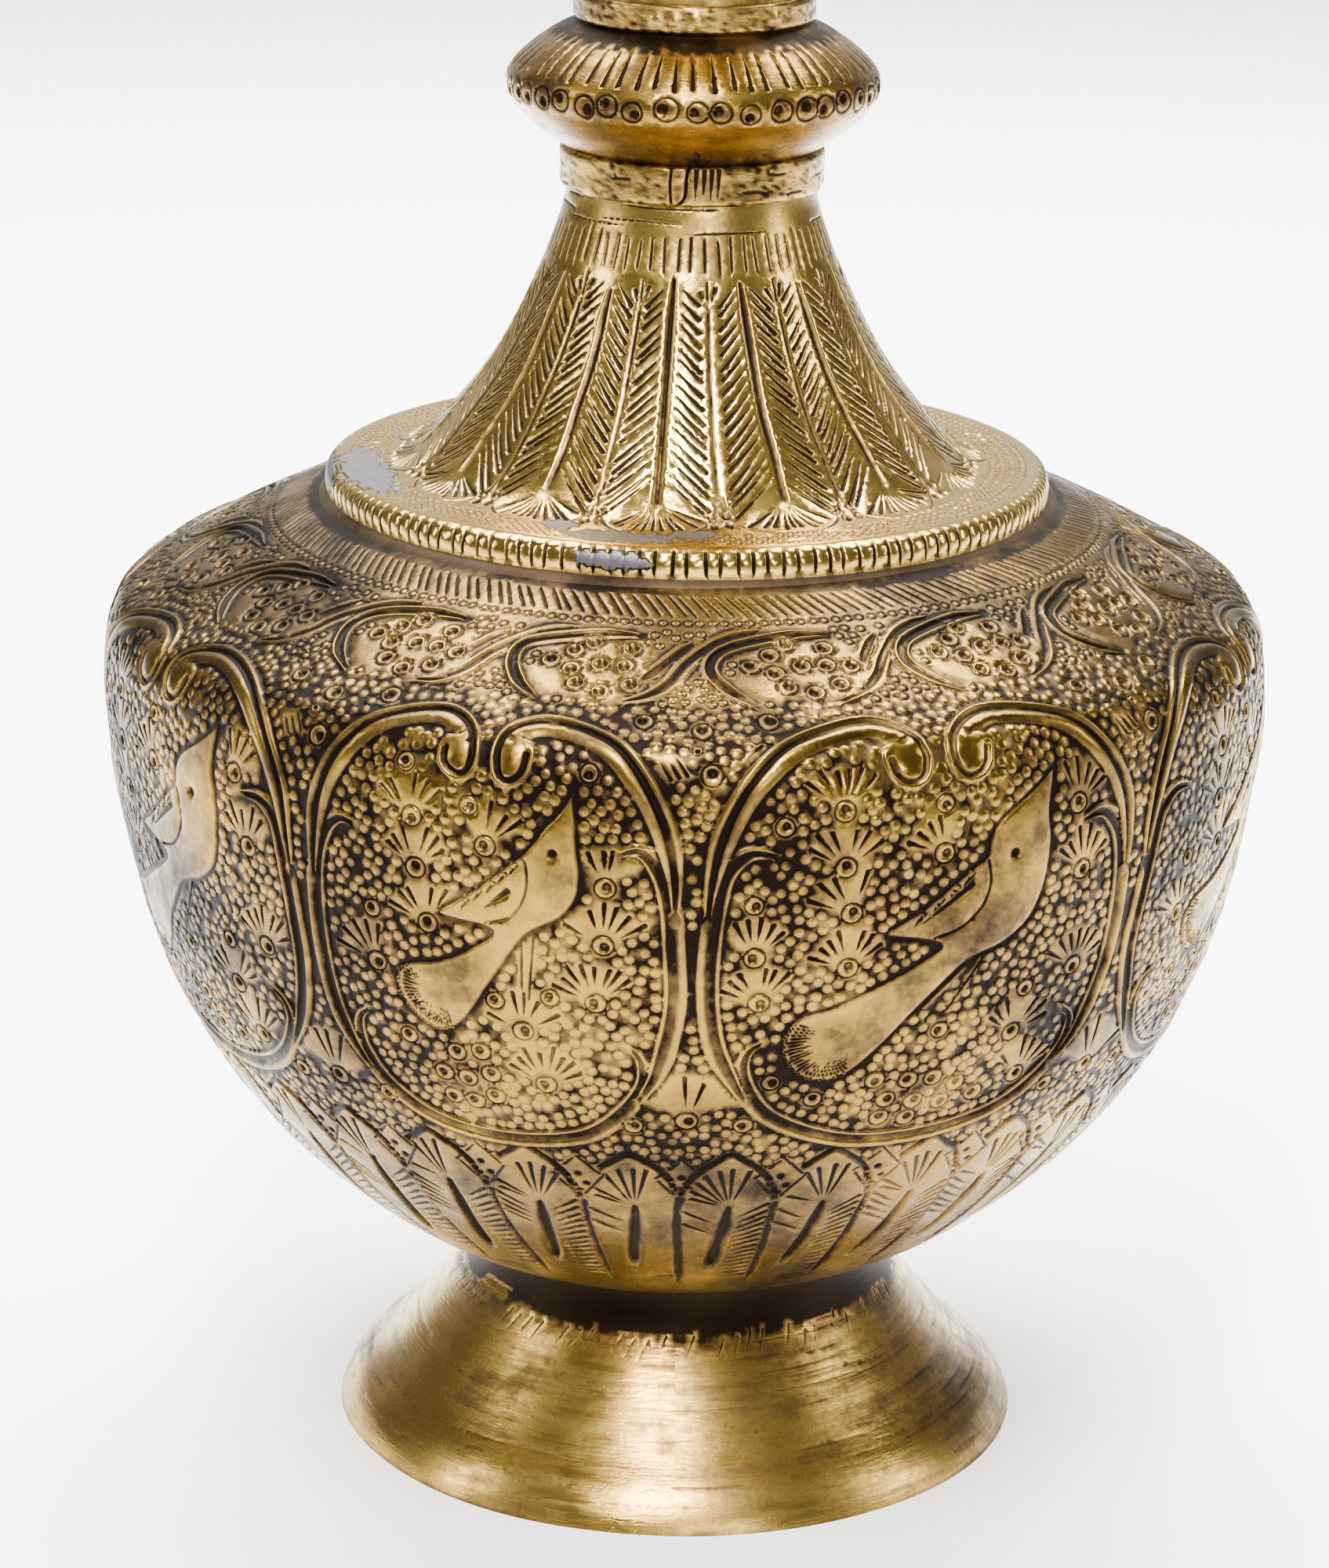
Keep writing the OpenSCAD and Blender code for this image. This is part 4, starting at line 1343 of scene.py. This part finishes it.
def brass(name, bright, patina, dirt, use_marks=True, brushed=0.0, rough=(0.22, 0.55),
          blotchy=2.2, dull=0.14):
    """A metal finish. brushed is how strongly fine lines run round the piece."""
    paint = bpy.data.materials.new(name)
    paint.use_nodes = True
    nodes, link = paint.node_tree.nodes, paint.node_tree.links.new
    shader = nodes["Principled BSDF"]
    shader.inputs["Metallic"].default_value = 1.0
    where = nodes.new("ShaderNodeTexCoord")

    def noise(scale, detail, source=None, roughness=0.55):
        node = nodes.new("ShaderNodeTexNoise")
        node.inputs["Scale"].default_value = scale
        node.inputs["Detail"].default_value = detail
        node.inputs["Roughness"].default_value = roughness
        link(source or where.outputs["Object"], node.inputs["Vector"])
        return node.outputs["Fac"]

    def sums(kind, a, b):
        node = nodes.new("ShaderNodeMath")
        node.operation = kind
        for socket, value in zip(node.inputs, (a, b)):
            if isinstance(value, (int, float)):
                socket.default_value = value
            else:
                link(value, socket)
        return node.outputs[0]

    patches = sums("ADD", noise(26, 3), sums("MULTIPLY", noise(150, 5, None, 0.65), 0.8))
    speckle = noise(1100, 3)
    shift = sums("ADD", sums("MULTIPLY", sums("SUBTRACT", patches, 0.88), blotchy),
                 sums("MULTIPLY", sums("SUBTRACT", speckle, 0.5), 0.4))
    height = speckle
    if brushed:
        spread = nodes.new("ShaderNodeSeparateXYZ")
        link(where.outputs["Object"], spread.inputs[0])
        around = sums("ARCTAN2", spread.outputs["X"], spread.outputs["Y"])
        joined = nodes.new("ShaderNodeCombineXYZ")
        link(sums("MULTIPLY", around, 0.004), joined.inputs["X"])
        link(spread.outputs["Z"], joined.inputs["Z"])
        lines = noise(2600, 5, joined.outputs[0], 0.65)
        streaks = noise(700, 3, joined.outputs[0], 0.6)
        shift = sums("ADD", shift, sums("MULTIPLY", sums("SUBTRACT", streaks, 0.5), brushed * 1.1))
        height = sums("ADD", sums("MULTIPLY", height, 0.3), sums("MULTIPLY", lines, 1.4))
    if use_marks:
        mark = nodes.new("ShaderNodeAttribute")
        mark.attribute_name = "tarnish"
        shift = sums("ADD", sums("ADD", shift, mark.outputs["Fac"]), dull)
    else:
        shift = sums("ADD", shift, 0.25)
    colours = ramp(nodes, [(0.0, bright), (0.34, tuple((b + p) / 2 for b, p in zip(bright, patina))),
                           (0.6, patina), (1.0, dirt)])
    link(shift, colours.inputs["Fac"])
    colour = colours.outputs["Color"]
    if use_marks:
        tin = nodes.new("ShaderNodeMapRange")
        tin.inputs["From Min"].default_value = 1.35
        tin.inputs["From Max"].default_value = 1.9
        link(mark.outputs["Fac"], tin.inputs["Value"])
        mixed = nodes.new("ShaderNodeMix")
        mixed.data_type = "RGBA"
        mixed.inputs["B"].default_value = (0.115, 0.108, 0.105, 1)
        link(tin.outputs["Result"], mixed.inputs["Factor"])
        link(colour, mixed.inputs["A"])
        colour = mixed.outputs["Result"]
    link(colour, shader.inputs["Base Color"])
    roughness = nodes.new("ShaderNodeMapRange")
    roughness.inputs["To Min"].default_value = rough[0]
    roughness.inputs["To Max"].default_value = rough[1]
    link(shift, roughness.inputs["Value"])
    link(roughness.outputs["Result"], shader.inputs["Roughness"])
    bump = nodes.new("ShaderNodeBump")
    bump.inputs["Strength"].default_value = 0.35
    bump.inputs["Distance"].default_value = 0.00012
    link(height, bump.inputs["Height"])
    link(bump.outputs["Normal"], shader.inputs["Normal"])
    return paint


chased = brass("chased_brass", (0.25, 0.152, 0.022), (0.075, 0.046, 0.015), (0.006, 0.004, 0.003))
# The shoulder takes a copy of the chased finish at about half the brightness: partly its own tarnish,
# partly painted shade.
shoulder_tarnish_and_shade_brass = brass("shoulder_tarnish_and_shade_brass", (0.13, 0.079, 0.0125), (0.052, 0.032, 0.0105),
                       (0.005, 0.0035, 0.0025))
rubbed = brass("rubbed_brass", (0.36, 0.215, 0.032), (0.10, 0.06, 0.016), (0.010, 0.006, 0.003),
               brushed=1.0, rough=(0.16, 0.5), blotchy=1.5)
fluted = brass("feathered_brass", (0.64, 0.43, 0.085), (0.17, 0.105, 0.03), (0.010, 0.007, 0.004),
               rough=(0.16, 0.5), blotchy=0.9, dull=0.02)
spun = brass("brushed_brass", (0.60, 0.385, 0.078), (0.16, 0.096, 0.026), (0.014, 0.009, 0.005),
             brushed=1.0, rough=(0.16, 0.5), blotchy=1.3)
plain = brass("plain_brass", (0.54, 0.345, 0.072), (0.14, 0.084, 0.023), (0.014, 0.009, 0.005),
              use_marks=False, brushed=1.0)
grey = brass("grey_solder", (0.055, 0.038, 0.024), (0.03, 0.02, 0.012), (0.01, 0.007, 0.004),
             use_marks=False, rough=(0.6, 0.8))

# %% Giving every piece its finish, body and place
DRESS = [(belly_pieces[:8], chased, "chased_brass", "lower_bowl"),
         (belly_pieces[8:], shoulder_tarnish_and_shade_brass, "chased_brass", "shoulder_shell"),
         ([bowl_floor], plain, "chased_brass", "lower_bowl"),
         (neck_pieces, fluted, "chased_brass", "neck_cone"),
         (knop_pieces[:4], rubbed, "chased_brass", "knop_lower"),
         (knop_pieces[4:], rubbed, "chased_brass", "knop_upper"),
         (lower_band, spun, "brushed_brass", "lower_band"),
         (upper_band, spun, "brushed_brass", "upper_band"),
         (foot_pieces, spun, "brushed_brass", "foot"),
         ([trumpet], plain, "brushed_brass", "mouth_trumpet"),
         ([rim], plain, "brushed_brass", "rim_wire"),
         ([foot_fillet], grey, "solder", "foot_solder"),
         ([flange_fillet], grey, "solder", "flange_solder")]
for pieces, paint, slot, node in DRESS:
    for piece in pieces:
        piece.data.materials.append(paint)
        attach(piece, "root")
        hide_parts(node)
print("dressed", sum(len(row[0]) for row in DRESS), "pieces")

# %% [markdown]
# ## Camera, floor and light
# A long lens from a little above, and a pale floor that curves up into a backdrop. Metal
# looks like what it reflects: a broad light overhead, a narrow strip in front, the floor
# below, a dim room elsewhere. That gives the brass its deep gold and its highlights.

# %% Camera
camera_data = bpy.data.cameras.new("camera")
camera_data.lens = 116.5
camera_data.sensor_width = 36
camera_data.clip_start = 0.01
camera = bpy.data.objects.new("camera", camera_data)
bpy.context.scene.collection.objects.link(camera)
camera.location = (-0.0029, -0.7499, 0.3384)
tip, roll = math.radians(90 - 17.5), math.radians(0.78)
camera.rotation_euler = (Matrix.Rotation(tip, 3, "X") @ Matrix.Rotation(roll, 3, "Z")).to_euler()
bpy.context.scene.camera = camera
print("camera lens", camera_data.lens, "mm")

# %% Floor and backdrop
bpy.ops.object.select_all(action="DESELECT")
bpy.ops.mesh.primitive_plane_add(size=5, location=(0, -0.9, 0))
floor = bpy.context.object
floor.name = "floor"
bpy.ops.object.transform_apply(location=True, rotation=True, scale=True)
bpy.ops.object.mode_set(mode="EDIT")
bpy.ops.mesh.select_mode(type="VERT")
bpy.ops.mesh.select_all(action="DESELECT")
bpy.ops.object.mode_set(mode="OBJECT")
for vertex in floor.data.vertices:
    vertex.select = vertex.co.y > 0
bpy.ops.object.mode_set(mode="EDIT")
for i in range(1, 9):
    lean = math.radians(90 * i / 8)
    rise = (0, 0.12 * math.cos(lean), 0.12 * math.sin(lean))
    bpy.ops.mesh.extrude_region_move(TRANSFORM_OT_translate={"value": rise})
bpy.ops.mesh.extrude_region_move(TRANSFORM_OT_translate={"value": (0, 0, 2.2)})
bpy.ops.object.mode_set(mode="OBJECT")
bpy.ops.object.shade_smooth()
floor_paint = bpy.data.materials.new("pale_floor")
floor_paint.use_nodes = True
floor_shader = floor_paint.node_tree.nodes["Principled BSDF"]
floor_shader.inputs["Base Color"].default_value = (0.93, 0.93, 0.935, 1)
floor_shader.inputs["Roughness"].default_value = 0.6
floor.data.materials.append(floor_paint)

# %% Light
world = bpy.data.worlds.new("studio")
bpy.context.scene.world = world
world.use_nodes = True
world.node_tree.nodes["Background"].inputs["Color"].default_value = (0.95, 0.96, 1.0, 1)
world.node_tree.nodes["Background"].inputs["Strength"].default_value = 0.2


def softbox(name, place, aim, width, height, power, colour=(1, 1, 1), spread=180):
    """A rectangular area light at place, facing aim."""
    lamp = bpy.data.lights.new(name, "AREA")
    lamp.shape = "RECTANGLE"
    lamp.size, lamp.size_y = width, height
    lamp.energy = power
    lamp.color = colour
    lamp.spread = math.radians(spread)
    holder = bpy.data.objects.new(name, lamp)
    bpy.context.scene.collection.objects.link(holder)
    holder.location = place
    holder.rotation_euler = (Vector(aim) - Vector(place)).to_track_quat("-Z", "Y").to_euler()
    return holder


softbox("overhead", (0.0, 0.75, 1.6), (0, 0.6, 0), 1.8, 1.0, 84, spread=85)
softbox("strip", (-0.13, -0.85, 1.3), (0, 0, 0.12), 0.2, 1.1, 15, (1, 0.98, 0.95), spread=70)
softbox("left_fill", (-1.5, -0.3, 0.7), (0, 0, 0.12), 0.4, 1.0, 2, spread=70)
softbox("right_fill", (1.5, -0.2, 0.7), (0, 0, 0.12), 0.4, 1.0, 2, spread=70)
softbox("front_fill", (0.4, -1.7, 0.5), (0, 0, 0.12), 0.4, 0.4, 1.5, spread=60)
